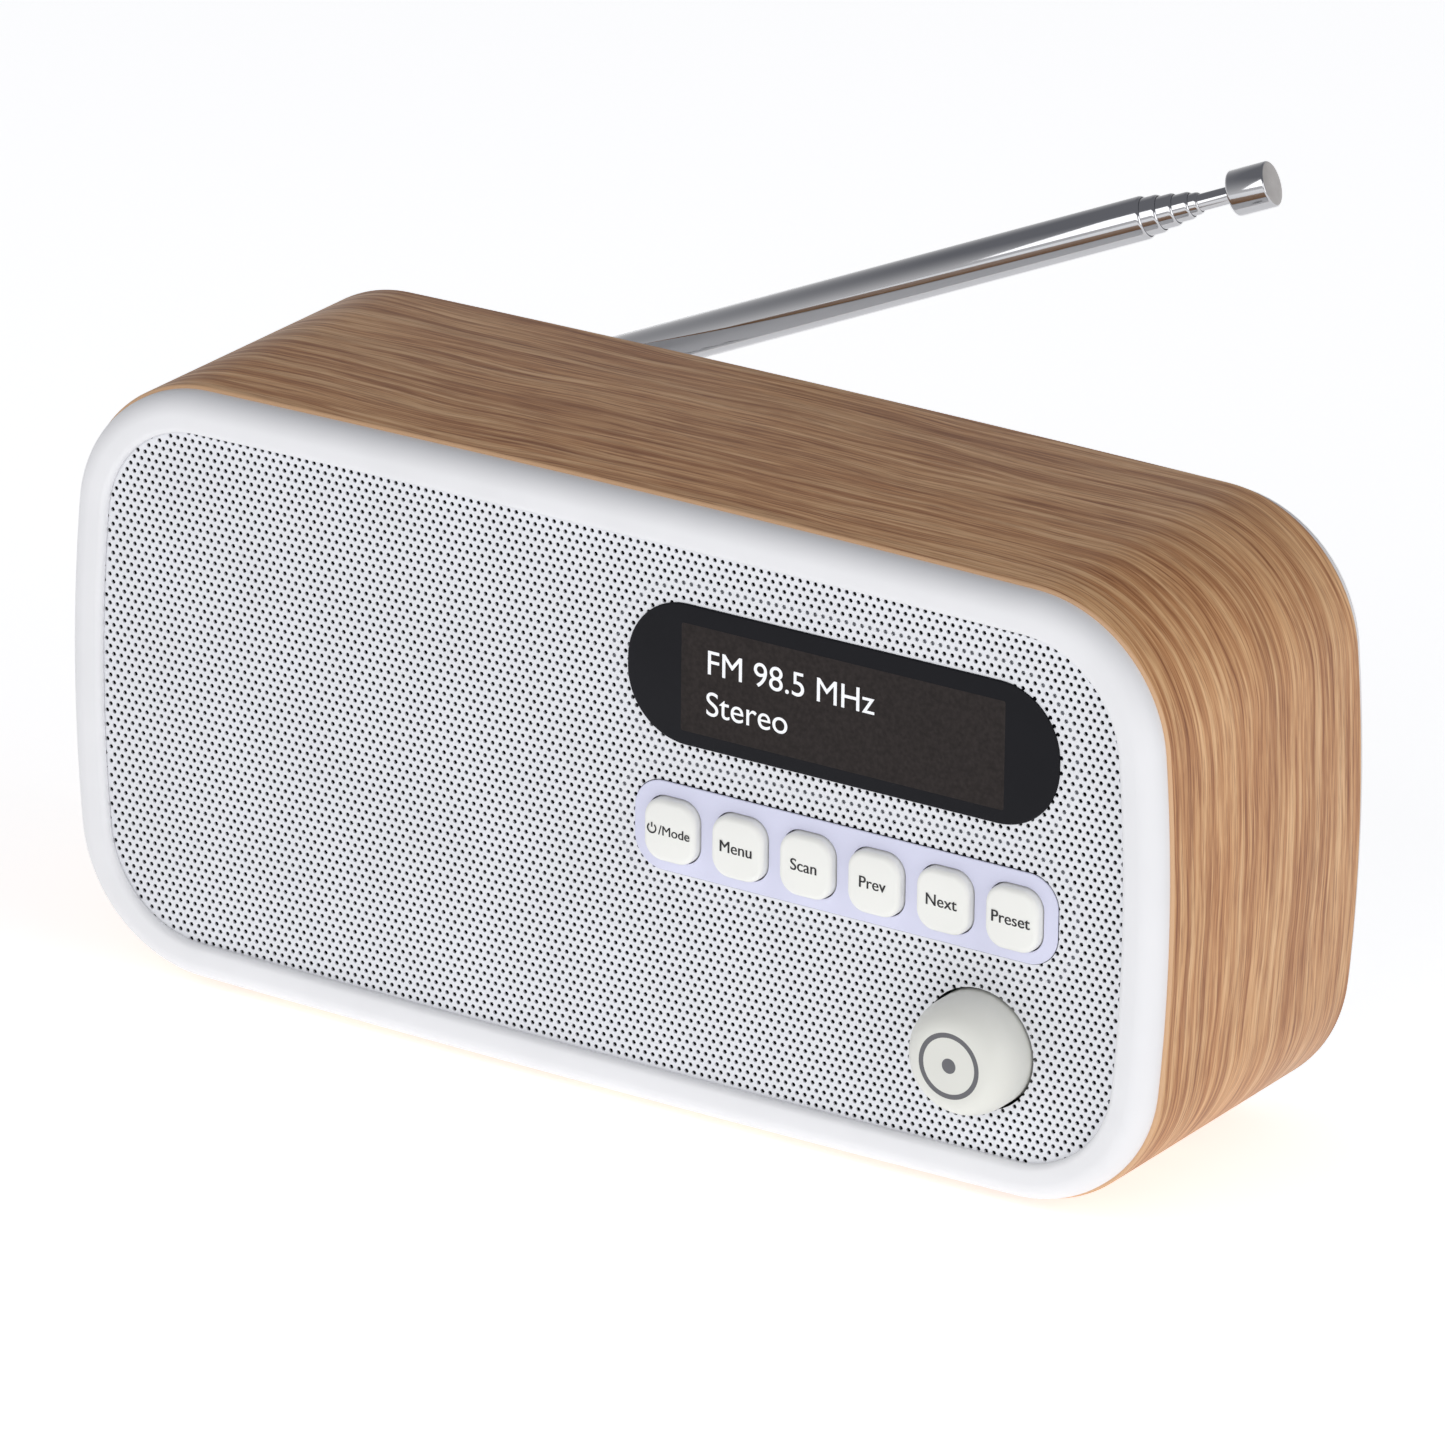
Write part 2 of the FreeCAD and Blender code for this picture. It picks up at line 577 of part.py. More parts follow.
def display_module():
    body = new_body("display_module", y="front_y", z="middle_z")
    pad(body, "baffle_front + screen_gap", "screen_depth",
        rounded("screen_width", "screen_height", "screen_corner", "display_x", "display_rise"))
    pad(body, "baffle_front + screen_gap + screen_depth",
        "board_front - baffle_front - screen_gap - screen_depth",
        rounded("screen_width - 2 * screen_step", "screen_height - 2 * screen_step",
                "screen_corner", "display_x", "display_rise"))
    return [body]


# ---- buttons and knob ----

def button_place(index):
    return "strip_x + %.1f * button_pitch" % (index - (len(BUTTONS) - 1) / 2)


def button_strip():
    body = new_body("button_strip", y="front_y", z="middle_z")
    pad(body, "-grille_rise - strip_proud", "strip_proud",
        rounded("strip_width", "strip_height", "strip_round", "strip_x", "-strip_drop"))
    pad(body, "-grille_rise", "grille_thickness + cloth_thickness", strip_cutout("0"))
    round_rim(body, "-grille_rise - strip_proud", "strip_edge_round")
    for index in range(len(BUTTONS)):
        pocket(body, "-grille_rise - strip_proud", "strip_proud + baffle_front + grille_rise",
               rounded("button_width + 2 * button_gap", "button_height + 2 * button_gap",
                       "button_round + button_gap", button_place(index), "-row_drop"))
    return [body]


def buttons():
    made = []
    for index, name in enumerate(BUTTONS):
        body = new_body(name, button_place(index), "front_y", "middle_z - row_drop")
        front = "-grille_rise - strip_proud - button_proud"
        pad(body, front, "flange_front - (%s)" % front,
            rounded("button_width", "button_height", "button_round"))
        round_rim(body, front, "button_edge")
        pad(body, "flange_front", "button_flange",
            rounded("button_width + 2 * button_lip", "button_height + 2 * button_lip",
                    "button_round + button_lip"))
        made.append(body)
    return made


def tact_switches():
    solids = []
    for index in range(len(BUTTONS)):
        x = button_place(index)
        solids.append(block("switch_body_%d" % index,
                            (x + " - switch_side / 2", "front_y + board_front - switch_body",
                             "middle_z - row_drop - switch_side / 2"),
                            ("switch_side", "switch_body", "switch_side")))
        solids.append(drum("switch_plunger_%d" % index, "plunger_radius",
                           "board_front - switch_body - switch_tip", x,
                           "front_y + switch_tip", "middle_z - row_drop"))
    return [together("tact_switches", solids)]


def tuning_knob():
    body = new_body("tuning_knob", "knob_x", "front_y", "middle_z - knob_drop")
    revolve(body, polygon(
        ("0", "knob_front"), ("knob_radius - knob_taper", "knob_front"),
        ("knob_radius", "-grille_rise"), ("knob_radius", "knob_back"),
        ("knob_hollow", "knob_back"), ("knob_hollow", "knob_front + knob_wall"),
        ("hub_radius", "knob_front + knob_wall"), ("hub_radius", "-hub_start"),
        ("shaft_radius", "-hub_start"), ("shaft_radius", "knob_front + knob_wall"),
        ("0", "knob_front + knob_wall")))
    round_rim(body, "knob_front", "knob_edge")
    return [body]


def encoder():
    case = new_body("encoder_body", "knob_x", "front_y", "middle_z - knob_drop")
    pad(case, "encoder_front", "encoder_depth",
        rounded("encoder_side", "encoder_side", "encoder_corner"))
    pad(case, "encoder_front - bushing_length", "bushing_length", circle("bushing_radius"))
    pocket(case, "encoder_front - bushing_length", "bushing_length + encoder_wall",
           circle("shaft_radius + shaft_gap"))
    pocket(case, "encoder_front + encoder_wall", "encoder_depth - encoder_wall - encoder_back",
           circle("collar_radius + shaft_gap + stop_gap"))
    shaft = new_body("encoder_shaft", "knob_x", "front_y", "middle_z - knob_drop")
    revolve(shaft, polygon(("0", "shaft_tip"), ("shaft_radius", "shaft_tip"),
                           ("shaft_radius", "collar_front"), ("collar_radius", "collar_front"),
                           ("collar_radius", "collar_back"), ("0", "collar_back")))
    plunger = new_body("encoder_plunger", "knob_x", "front_y", "middle_z - knob_drop")
    pad(plunger, "push_front", "push_thickness", circle("collar_radius"))
    return [case, shaft, plunger]


# ---- boards ----

def control_board():
    body = new_body("control_board", y="front_y", z="middle_z")
    pad(body, "board_front", "board_thickness",
        rounded("control_width", "control_high - control_low", "board_corner",
                "(control_left + control_right) / 2", "(control_high + control_low) / 2"))
    pocket(body, "board_front", "board_thickness",
           *[circle("screw_radius + screw_hole_gap", x, z) for x, z in board_posts()])
    return [body]


def screws(label, places, shank_radius, shank, head_radius, head, toward, y):
    """Screws of one kind. The head's seat is at y, and the shank runs toward -Y or +Y."""
    solids = []
    for index, (x, z) in enumerate(places):
        height = "middle_z + " + z
        shank_y = "%s - (%s)" % (y, shank) if toward < 0 else y
        head_y = y if toward < 0 else "%s - (%s)" % (y, head)
        solids.append(drum("%s_shank_%d" % (label, index), shank_radius, shank, x, shank_y,
                           height))
        solids.append(drum("%s_head_%d" % (label, index), head_radius, head, x, head_y, height))
    return together(label, solids)


def board_screws():
    return [screws("board_screws", board_posts(), "screw_radius", "screw_length",
                   "screw_head_radius", "screw_head", -1, "front_y + board_back")]


def main_posts():
    left, right = "main_left + main_post_margin", "main_right - main_post_margin"
    low, high = "main_low + main_post_margin", "main_high - main_post_margin"
    return [(left, low), (right, low), (right, high), (left, high)]


def main_board():
    body = new_body("main_board", y="rear_y", z="middle_z")
    pad(body, "main_front", "board_thickness",
        rounded("main_width", "main_high - main_low", "board_corner",
                "(main_left + main_right) / 2", "(main_high + main_low) / 2"))
    pocket(body, "main_front", "board_thickness",
           *[circle("screw_radius + screw_hole_gap", x, z) for x, z in main_posts()])
    return [body]


def main_board_screws():
    return [screws("main_board_screws", main_posts(), "screw_radius", "screw_length",
                   "screw_head_radius", "screw_head", 1, "rear_y + main_front")]


def on_main_board(label, left, rise, size):
    """A block on the front of the main board, placed from the board's lower left corner."""
    width, depth, height = size
    return block(label, ("main_left + " + left, "rear_y + main_front - " + depth,
                         "middle_z + main_low + " + rise), (width, depth, height))


def board_parts():
    """The shielded receiver, and the chip and capacitors beside it."""
    receiver = on_main_board("radio_module", "module_left", "module_rise",
                             ("module_width", "module_depth", "module_height"))
    parts = [on_main_board("amplifier_chip", "chip_left", "chip_rise",
                           ("chip_width", "chip_depth", "chip_height"))]
    for index in range(CAPACITORS):
        parts.append(drum("capacitor_%d" % index, "capacitor_radius", "capacitor_length",
                          "main_left + capacitor_left + %d * capacitor_pitch" % index,
                          "rear_y + main_front - capacitor_length",
                          "middle_z + main_low + capacitor_rise"))
    return [receiver, together("board_components", parts)]


def ribbon_cable():
    left, low = "main_left + plug_left", "middle_z + main_high - plug_drop"
    plug = ("plug_width", "plug_side", "plug_side")
    front_plug = block("front_plug", (left, "front_y + board_back", low), plug)
    back_plug = block("back_plug", (left, "rear_y + main_front - plug_side", low), plug)
    band = block("band", (left + " + band_inset", "front_y + board_back + plug_side",
                          low + " + plug_side / 2"),
                 ("plug_width - 2 * band_inset",
                  "cabinet_depth + main_front - board_back - 2 * plug_side", "band_thickness"))
    return [together("ribbon_cable", [front_plug, back_plug, band])]


# ---- speaker ----

def turned_at_speaker(label, *profiles):
    body = new_body(label, "speaker_x", "front_y", "middle_z")
    revolve(body, *profiles)
    return body


def speaker_frame():
    holes = ring_places("speaker_screw_ring", 4, 45)
    gasket = new_body("speaker_gasket", y="front_y", z="middle_z")
    pad(gasket, "gasket_front", "gasket_thickness", circle("speaker_radius", "speaker_x"),
        circle("speaker_hole", "speaker_x"))
    pocket(gasket, "gasket_front", "gasket_thickness",
           *[circle("screw_radius", x, z) for x, z in holes])
    basket = turned_at_speaker("speaker_basket", polygon(
        ("basket_rim", "basket_front"), ("speaker_radius", "basket_front"),
        ("speaker_radius", "basket_front + basket_flange"),
        ("basket_rim + basket_wall", "basket_front + basket_flange"),
        ("basket_back", "basket_end - basket_wall"), ("basket_back", "basket_end"),
        ("throat_radius", "basket_end"), ("throat_radius", "basket_end - 2 * basket_wall"),
        ("basket_back - 2 * basket_wall", "basket_end - 2 * basket_wall"),
        ("basket_rim", "basket_front + basket_flange")))
    local = [(x.replace("speaker_x + ", ""), z) for x, z in holes]
    pocket(basket, "basket_front", "basket_flange",
           *[circle("screw_radius", x, z) for x, z in local])
    windows = [(x.replace("speaker_x + ", ""), z)
               for x, z in ring_places("basket_window_ring", 6, 0)]
    pocket(basket, "basket_front + basket_flange", "basket_depth - 2 * basket_wall",
           *[circle("basket_window", x, z) for x, z in windows])
    return [gasket, basket,
            screws("speaker_screws", holes, "screw_radius",
                   "gasket_thickness + basket_flange + pilot_depth", "speaker_head_radius",
                   "screw_head", -1, "front_y + basket_front + basket_flange")]


def speaker_drive():
    magnet = turned_at_speaker("speaker_magnet", polygon(
        ("0", "basket_end"), ("magnet_radius", "basket_end"),
        ("magnet_radius", "basket_end + magnet_depth"), ("0", "basket_end + magnet_depth")))
    round_rim(magnet, "basket_end + magnet_depth", "edge_round")
    rim, throat = "basket_front + basket_flange / 2", "basket_front + throat_depth"
    cone = turned_at_speaker("speaker_cone", polygon(
        ("cone_radius", rim), ("cone_radius", rim + " + cone_wall"),
        ("throat_radius", throat + " + cone_wall"), ("cone_hole", throat)))
    inner, outer = "cone_radius + glue_gap", "basket_rim - glue_gap"
    surround = turned_at_speaker("speaker_surround", polygon(
        (inner, "basket_front"), ("cone_radius + roll_near", "basket_front - roll_rise"),
        ("cone_radius + roll_far", "basket_front - roll_rise"), (outer, "basket_front"),
        (outer, "basket_front + surround_thickness"),
        (inner, "basket_front + surround_thickness")))
    cap = turned_at_speaker("dust_cap", polygon(
        ("0", throat + " - cap_rise"), ("cap_shoulder_radius", throat + " - cap_shoulder"),
        ("throat_radius", throat + " - cap_edge"),
        ("throat_radius", throat + " - cap_edge + cap_thickness"),
        ("0", throat + " - cap_rise + cap_thickness")))
    return [magnet, cone, surround, cap]


# ---- rear cover, battery bay, sockets ----

def rear_cover():
    body = new_body("rear_cover", y="rear_y", z="middle_z")
    pad(body, "0", "cover_thickness", outline("cover_inset"))
    pad(body, "-cover_rim", "cover_rim", outline("rim_inset"), outline("seat_inset"))
    for sign_x, sign_z in CORNERS:
        x, z = "%d * post_x" % sign_x, "%d * post_z" % sign_z
        pad(body, "-well_depth", "well_depth", circle("well_radius", x, z))
        pocket(body, "-well_depth", "well_depth + cover_thickness",
               circle("cover_screw_radius + cover_head_gap", x, z))
        pocket(body, "well_floor - well_depth",
               "well_depth - well_floor + cover_thickness",
               circle("cover_head_radius + cover_head_gap", x, z))
    for x, z in main_posts():
        pad(body, "-main_post_length", "main_post_length", circle("board_post_radius", x, z))
        pocket(body, "-main_post_length", "screw_length - board_thickness",
               circle("screw_radius", x, z))
    pocket(body, "0", "cover_thickness",
           rounded("door_width + 2 * door_gap", "door_height + 2 * door_gap",
                   "door_opening_corner", "0", "bay_z"),
           circle("inlet_nose + cutout_gap", "socket_x", "inlet_rise"),
           circle("phones_nose + cutout_gap", "socket_x", "phones_rise"),
           circle("base_sleeve", "pivot_x", "pivot_z"))
    pin_reach = "door_width / 2 + hinge_pin_length + door_gap"
    pocket(body, "-(%s)" % pin_reach, "2 * (%s)" % pin_reach,
           circle("hinge_pin_radius + hinge_gap", "hinge_y", "hinge_z"), plane="YZ_Plane")
    vents = [rounded("vent_width", "vent_height", "vent_round",
                     "speaker_x + %d * vent_pitch" % (index - VENTS // 2), "vent_rise")
             for index in range(VENTS)]
    pocket(body, "0", "cover_thickness", *vents)
    return [body]


def rear_cover_screws():
    places = [("%d * post_x" % sign_x, "%d * post_z" % sign_z) for sign_x, sign_z in CORNERS]
    return [screws("rear_cover_screws", places, "cover_screw_radius",
                   "cover_screw_length", "cover_head_radius", "cover_head", -1,
                   "rear_y + well_floor - well_depth")]


def battery_box():
    body = new_body("battery_box", y="rear_y", z="middle_z")
    pad(body, "-bay_depth", "bay_depth",
        rounded("bay_width", "bay_height", "bay_corner", "0", "bay_z"))
    pocket(body, "bay_wall - bay_depth", "bay_depth - bay_wall",
           rounded("bay_width - 2 * bay_wall", "bay_height - 2 * bay_wall",
                   "bay_inner_corner", "0", "bay_z"))
    return [body]


def cell_places():
    """Middle of each cell, two side by side in each of two rows."""
    x = "(cell_length + cell_spacing) / 2"
    z = "(cell_radius + cell_gap)"
    return [("%d * %s" % (sign_x, x), "bay_z + %d * %s" % (sign_z, z))
            for sign_x, sign_z in CORNERS]


def battery_cells():
    solids = []
    for index, (x, z) in enumerate(cell_places()):
        solids.append(drum("cell_%d" % index, "cell_radius", "cell_length - cell_button",
                           x + " - cell_length / 2", "cell_y", "middle_z + " + z, ALONG_X))
        solids.append(drum("button_%d" % index, "cell_button_radius", "cell_button",
                           x + " + cell_length / 2 - cell_button", "cell_y",
                           "middle_z + " + z, ALONG_X))
    return [together("battery_cells", solids)]


def battery_contacts():
    """A plate at both ends of each row, with a short spring standing on each."""
    solids = []
    reach = "(bay_width / 2 - bay_wall)"
    cell_end = "(cell_length + cell_spacing / 2)"
    for index, (sign_x, sign_z) in enumerate(CORNERS):
        height = "middle_z + bay_z + %d * (cell_radius + cell_gap)" % sign_z
        near = "%d * %s" % (sign_x, reach)
        left = near + (" - contact_plate" if sign_x > 0 else "")
        solids.append(block("contact_%d" % index,
                            (left, "cell_y - contact_width / 2",
                             height + " - contact_width / 2"),
                            ("contact_plate", "contact_width", "contact_width")))
        start = cell_end if sign_x > 0 else "-(%s) + contact_plate" % reach
        solids.append(drum("spring_%d" % index, "spring_radius",
                           "%s - contact_plate - %s" % (reach, cell_end), start, "cell_y",
                           height, ALONG_X))
    return [together("battery_contacts", solids)]


def battery_door():
    """A plate with round upper and lower edges, turning on two pins at its lower edge."""
    body = new_body("battery_door", y="rear_y", z="middle_z")
    pad(body, "-door_width / 2", "door_width",
        rounded("door_thickness", "door_height", "door_round", "hinge_y", "bay_z"),
        plane="YZ_Plane")
    pin_end = "door_width / 2 + hinge_pin_length"
    pad(body, "-(%s)" % pin_end, "2 * (%s)" % pin_end,
        circle("hinge_pin_radius", "hinge_y", "hinge_z"), plane="YZ_Plane")
    return [body]


def socket(label, side, nose, bore, bore_depth, rise):
    body = new_body(label, "socket_x", "rear_y", "middle_z + " + rise)
    pad(body, "main_back", "main_post_length", rounded(side, side, "socket_corner"))
    pad(body, "0", "cover_thickness", circle(nose))
    pocket(body, "cover_thickness - (%s)" % bore_depth, bore_depth, circle(bore))
    return body


def sockets():
    inlet = socket("dc_inlet", "inlet_side", "inlet_nose", "inlet_bore", "inlet_bore_depth",
                   "inlet_rise")
    pad(inlet, "cover_thickness - inlet_bore_depth", "inlet_pin_length",
        circle("inlet_pin_radius"))
    phones = socket("headphone_jack", "phones_side", "phones_nose", "phones_bore",
                    "phones_bore_depth", "phones_rise")
    return [inlet, phones]


# ---- antenna ----

def antenna_base():
    body = new_body("antenna_base", "pivot_x", "rear_y", "middle_z + pivot_z")
    pad(body, "cover_thickness", "base_thickness", circle("base_radius"))
    round_rim(body, "cover_thickness + base_thickness", "edge_round")
    pad(body, "cover_thickness - base_depth", "base_depth", circle("base_sleeve"))
    pocket(body, "cover_thickness - base_depth", "base_depth + base_thickness",
           circle("pivot_radius + pivot_gap"))
    return [body]


def antenna_swivel():
    """A turret that turns in the base, with a fork for the elbow."""
    body = new_body("antenna_swivel", "pivot_x", "rear_y", "middle_z + pivot_z", RAISED)
    stub = "cover_thickness - base_depth - stop_gap"
    pad(body, "turret_front", "turret_thickness", circle("turret_radius"))
    pad(body, stub, "turret_front - (%s)" % stub, circle("pivot_radius"))
    cheek = "-fork_width / 2"
    pad(body, cheek, "fork_width", circle("fork_radius", "0", "elbow_y"), plane="XY_Plane")
    pad(body, "turret_back", "elbow_y - turret_back",
        rounded("2 * fork_radius", "fork_width", "fork_corner"))
    slot = "tongue_width + 2 * tongue_gap"
    pocket(body, "turret_back", "elbow_y - turret_back + fork_radius",
           rounded("4 * fork_radius", slot, "slot_corner"))
    pocket(body, cheek, "fork_width", circle("elbow_pin_radius", "0", "elbow_y"),
           plane="XY_Plane")
    pocket(body, stub, "pivot_thread_length", circle("pivot_thread"))
    pin = new_body("antenna_elbow_pin", "pivot_x", "rear_y", "middle_z + pivot_z", RAISED)
    pad(pin, cheek, "fork_width", circle("elbow_pin_radius", "0", "elbow_y"), plane="XY_Plane")
    screw = new_body("antenna_pivot_screw", "pivot_x", "rear_y", "middle_z + pivot_z", RAISED)
    pad(screw, stub + " - pivot_screw_head", "pivot_screw_head", circle("pivot_screw_radius"))
    pad(screw, stub, "pivot_thread_length", circle("pivot_thread"))
    return [body, pin, screw]


def aimed_body(label):
    """A body whose own +X runs along the antenna, from the elbow pin outwards."""
    return new_body(label, "pivot_x", "rear_y + elbow_y", "middle_z + pivot_z", AIMED)


def antenna_elbow():
    body = aimed_body("antenna_elbow")
    pad(body, "-tongue_width / 2", "tongue_width", circle("tongue_radius"), plane="XY_Plane")
    pad(body, "0", "tube_start", rounded("2 * tongue_radius", "tongue_width", "slot_corner"),
        plane="YZ_Plane")
    pad(body, "tube_start", "plug_length", circle("tube_radius - tube_wall"), plane="YZ_Plane")
    pocket(body, "-tongue_width / 2", "tongue_width", circle("elbow_pin_radius + pivot_gap"),
           plane="XY_Plane")
    return [body]


def tube_radius_of(level):
    return "(tube_radius - %d * (tube_wall + tube_gap))" % level


def tube_end_of(level):
    """Where a section's outer end lies. The innermost tube shows a shorter ring."""
    steps = "%d * ring_step" % min(level, TUBES - 2)
    return "tube_end + " + steps + (" + last_ring_step" if level == TUBES - 1 else "")


def nest_start(level):
    return "tube_start + plug_length + %d * nest_step" % level


def antenna_sections():
    made = []
    for level in range(TUBES):
        start = nest_start(level) if level else "tube_start"
        radius = tube_radius_of(level)
        body = aimed_body("antenna_tube_%d" % (level + 1))
        pad(body, start, "%s - (%s)" % (tube_end_of(level), start), circle(radius),
            circle(radius + " - tube_wall"), plane="YZ_Plane")
        made.append(body)
    rod = aimed_body("antenna_rod")
    start = nest_start(TUBES)
    tip_start = tube_end_of(TUBES - 1) + " + rod_show"
    pad(rod, start, "%s - (%s)" % (tip_start, start), circle("rod_radius"), plane="YZ_Plane")
    tip = aimed_body("antenna_tip")
    pad(tip, tip_start, "tip_length", circle("tip_radius"), plane="YZ_Plane")
    return made + [rod, tip]


# ---- the whole radio ----

def build():
    made = []
    for step in (cabinet_sleeve, feet, front_bezel, speaker_grille, grille_cloth,
                 speaker_baffle, display_lens, display_module, button_strip, buttons,
                 tact_switches, tuning_knob, encoder, control_board, board_screws, main_board,
                 main_board_screws, board_parts, ribbon_cable, speaker_frame, speaker_drive,
                 rear_cover, rear_cover_screws, battery_box, battery_cells, battery_contacts,
                 battery_door, sockets, antenna_base, antenna_swivel, antenna_elbow,
                 antenna_sections):
        made += step()
    doc.recompute()
    return made


def write(made):
    for thing in doc.Objects:
        if "Invalid" in thing.State or "Error" in thing.State:
            raise RuntimeError("failed: " + thing.Label)
    for part in made:
        if part.Shape.isNull() or not part.Shape.isValid():
            raise RuntimeError("bad shape: " + part.Label)
    os.makedirs("parts", exist_ok=True)
    for part in made:
        part.Shape.exportStep("parts/%s.step" % part.Label)


write(build())
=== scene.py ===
import json
import math

import bmesh
import bpy
from mathutils import Matrix, Vector


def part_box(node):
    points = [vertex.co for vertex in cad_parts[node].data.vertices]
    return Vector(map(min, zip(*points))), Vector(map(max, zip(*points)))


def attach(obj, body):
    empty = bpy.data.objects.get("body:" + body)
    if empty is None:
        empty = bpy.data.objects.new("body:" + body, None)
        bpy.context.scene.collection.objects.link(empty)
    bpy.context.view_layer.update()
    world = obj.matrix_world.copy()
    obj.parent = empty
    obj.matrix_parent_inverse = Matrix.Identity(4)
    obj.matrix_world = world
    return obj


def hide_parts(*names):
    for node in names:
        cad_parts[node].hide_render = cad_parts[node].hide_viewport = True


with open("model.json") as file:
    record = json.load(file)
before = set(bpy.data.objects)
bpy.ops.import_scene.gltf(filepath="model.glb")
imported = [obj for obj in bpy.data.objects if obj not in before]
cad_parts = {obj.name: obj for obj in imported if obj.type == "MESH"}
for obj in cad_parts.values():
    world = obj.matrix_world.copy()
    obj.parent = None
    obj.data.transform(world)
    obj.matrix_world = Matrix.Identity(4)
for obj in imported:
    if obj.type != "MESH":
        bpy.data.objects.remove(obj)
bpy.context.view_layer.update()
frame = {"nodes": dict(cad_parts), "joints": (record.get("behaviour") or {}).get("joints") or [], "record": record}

MM = 0.001

# ---- driving sizes, in millimetres, as in the frame ----

WIDTH, HEIGHT, DEPTH = 215.2, 106.5, 59.2
SIDE_BULGE, CROWN_BULGE, CORNER = 4.5, 1.04, 25.9
WOOD_WALL, WOOD_ROUND, WOOD_REAR_ROUND = 4.0, 0.5, 1.3
FOOT_HEIGHT = 2.0
BEZEL_STEP, BEZEL_DEPTH, BEZEL_WIDTH, BEZEL_ROUND, LIP_ROUND = 0.6, 4.5, 7.2, 3.5, 1.1
SEAT_INSET, RIM_INSET, RIM_LENGTH, FACE_FALL = 5.5, 4.2, 5.0, 0.08
GRILLE_RISE, SHEET, PLATE_INSET = 2.9, 0.3, 5.7
HOLE_PITCH, HOLE_RADIUS = 1.49, 0.43
BUTTON_WIDTH, BUTTON_HEIGHT, BUTTON_CORNER, BUTTON_EDGE = 10.0, 10.8, 3.4, 0.95
KNOB_FACE, KNOB_FALL, KNOB_WALL, KNOB_GAP = 5.8, 6.2, 1.8, 0.5
RING_RADIUS, RING_LINE, DOT_RADIUS, PRINT = 5.7, 0.85, 1.3, 0.012
SCREEN_WIDTH, SCREEN_HEIGHT, SCREEN_SHIFT, SCREEN_DROP = 61.9, 18.7, 0.15, 0.4
NUDGE = 0.06  # keeps neighbouring rings of a lofted section out of one plane
SHEET_MARGIN, CUT_MARGIN, SHEET_SPLIT = 0.2, 2.2, -12.0
WINDOW_REACH, SIDE_REACH, SHORTEST_SIDE = 2.0, 1.2, 0.8

LENS_CORNER, LENS_EDGE, LENS_LAP = 11.5, 0.3, 0.05
STRIP_CORNER, STRIP_GAP = 5.5, 0.13
SCREEN_CORNER, SCREEN_PROUD, SCREEN_SUNK = 0.4, 0.012, 0.2
READOUT_HEIGHT, READOUT_LEFT, READOUT_TOP, READOUT_LINE = 4.35, 4.7, 7.85, 7.15
READOUT_PROUD = 0.01

KEY_CROWN, KEY_MIDDLE, KEY_SHOULDER, KEY_FLANGE, KEY_SHARPEST = 0.16, 4.2, 2.4, 0.8, 0.8
KEY_MIDDLE_FALL, KEY_EDGE_FALL = 0.3, 0.6  # shares of the crown
LABEL_HEIGHT, LABEL_DROP, LABEL_BOLD, LABEL_PROUD = 2.1, 0.78, 0.04, 0.015
MODE_HEIGHT, MODE_SHIFT, MODE_DROP, MODE_BOLD = 1.72, 1.15, 0.62, 0.03
SIGN_SHIFT, SIGN_RISE, SIGN_RADIUS, SIGN_LINE = 3.2, 0.2, 0.8, 0.26
SIGN_GAP, SIGN_BAR, SIGN_BAR_RISE, SIGN_THICKNESS = math.radians(38), 1.05, 0.75, 0.02
CAPITAL_SHARE, LETTER_DEPTH = 0.729, 0.01

TUBE_RADIUS, TUBE_WALL, TUBE_GAP = 3.7, 0.4, 0.05
TUBE_FOOT = ((-0.1, 0), (0, 0.15))  # steps out from the radius and along from the end
TUBE_MOUTH = ((0, -0.55), (-0.06, -0.3), (-0.16, -0.1), (-0.3, 0), (-0.38, -0.1), (-0.4, -0.4))
ROD_RADIUS, ROD_PAST = 1.45, 0.3
ROD_NECK = ((0, -0.9), (-0.25, -0.6), (-0.35, -0.2), (-0.35, ROD_PAST))
TIP_RADIUS, TIP_EDGE, TIP_END_EDGE, TIP_STEPS = 3.9, 0.5, 0.35, 5

FRONT, REAR = -DEPTH / 2, DEPTH / 2
MIDDLE = FOOT_HEIGHT + HEIGHT / 2
SHEET_FRONT = FRONT - GRILLE_RISE


def box_mm(node):
    low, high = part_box(node)
    return low / MM, high / MM


def seen_centre(low, high):
    """The middle of a box as seen from the front."""
    return (low.x + high.x) / 2, (low.z + high.z) / 2


# ---- finishes ----

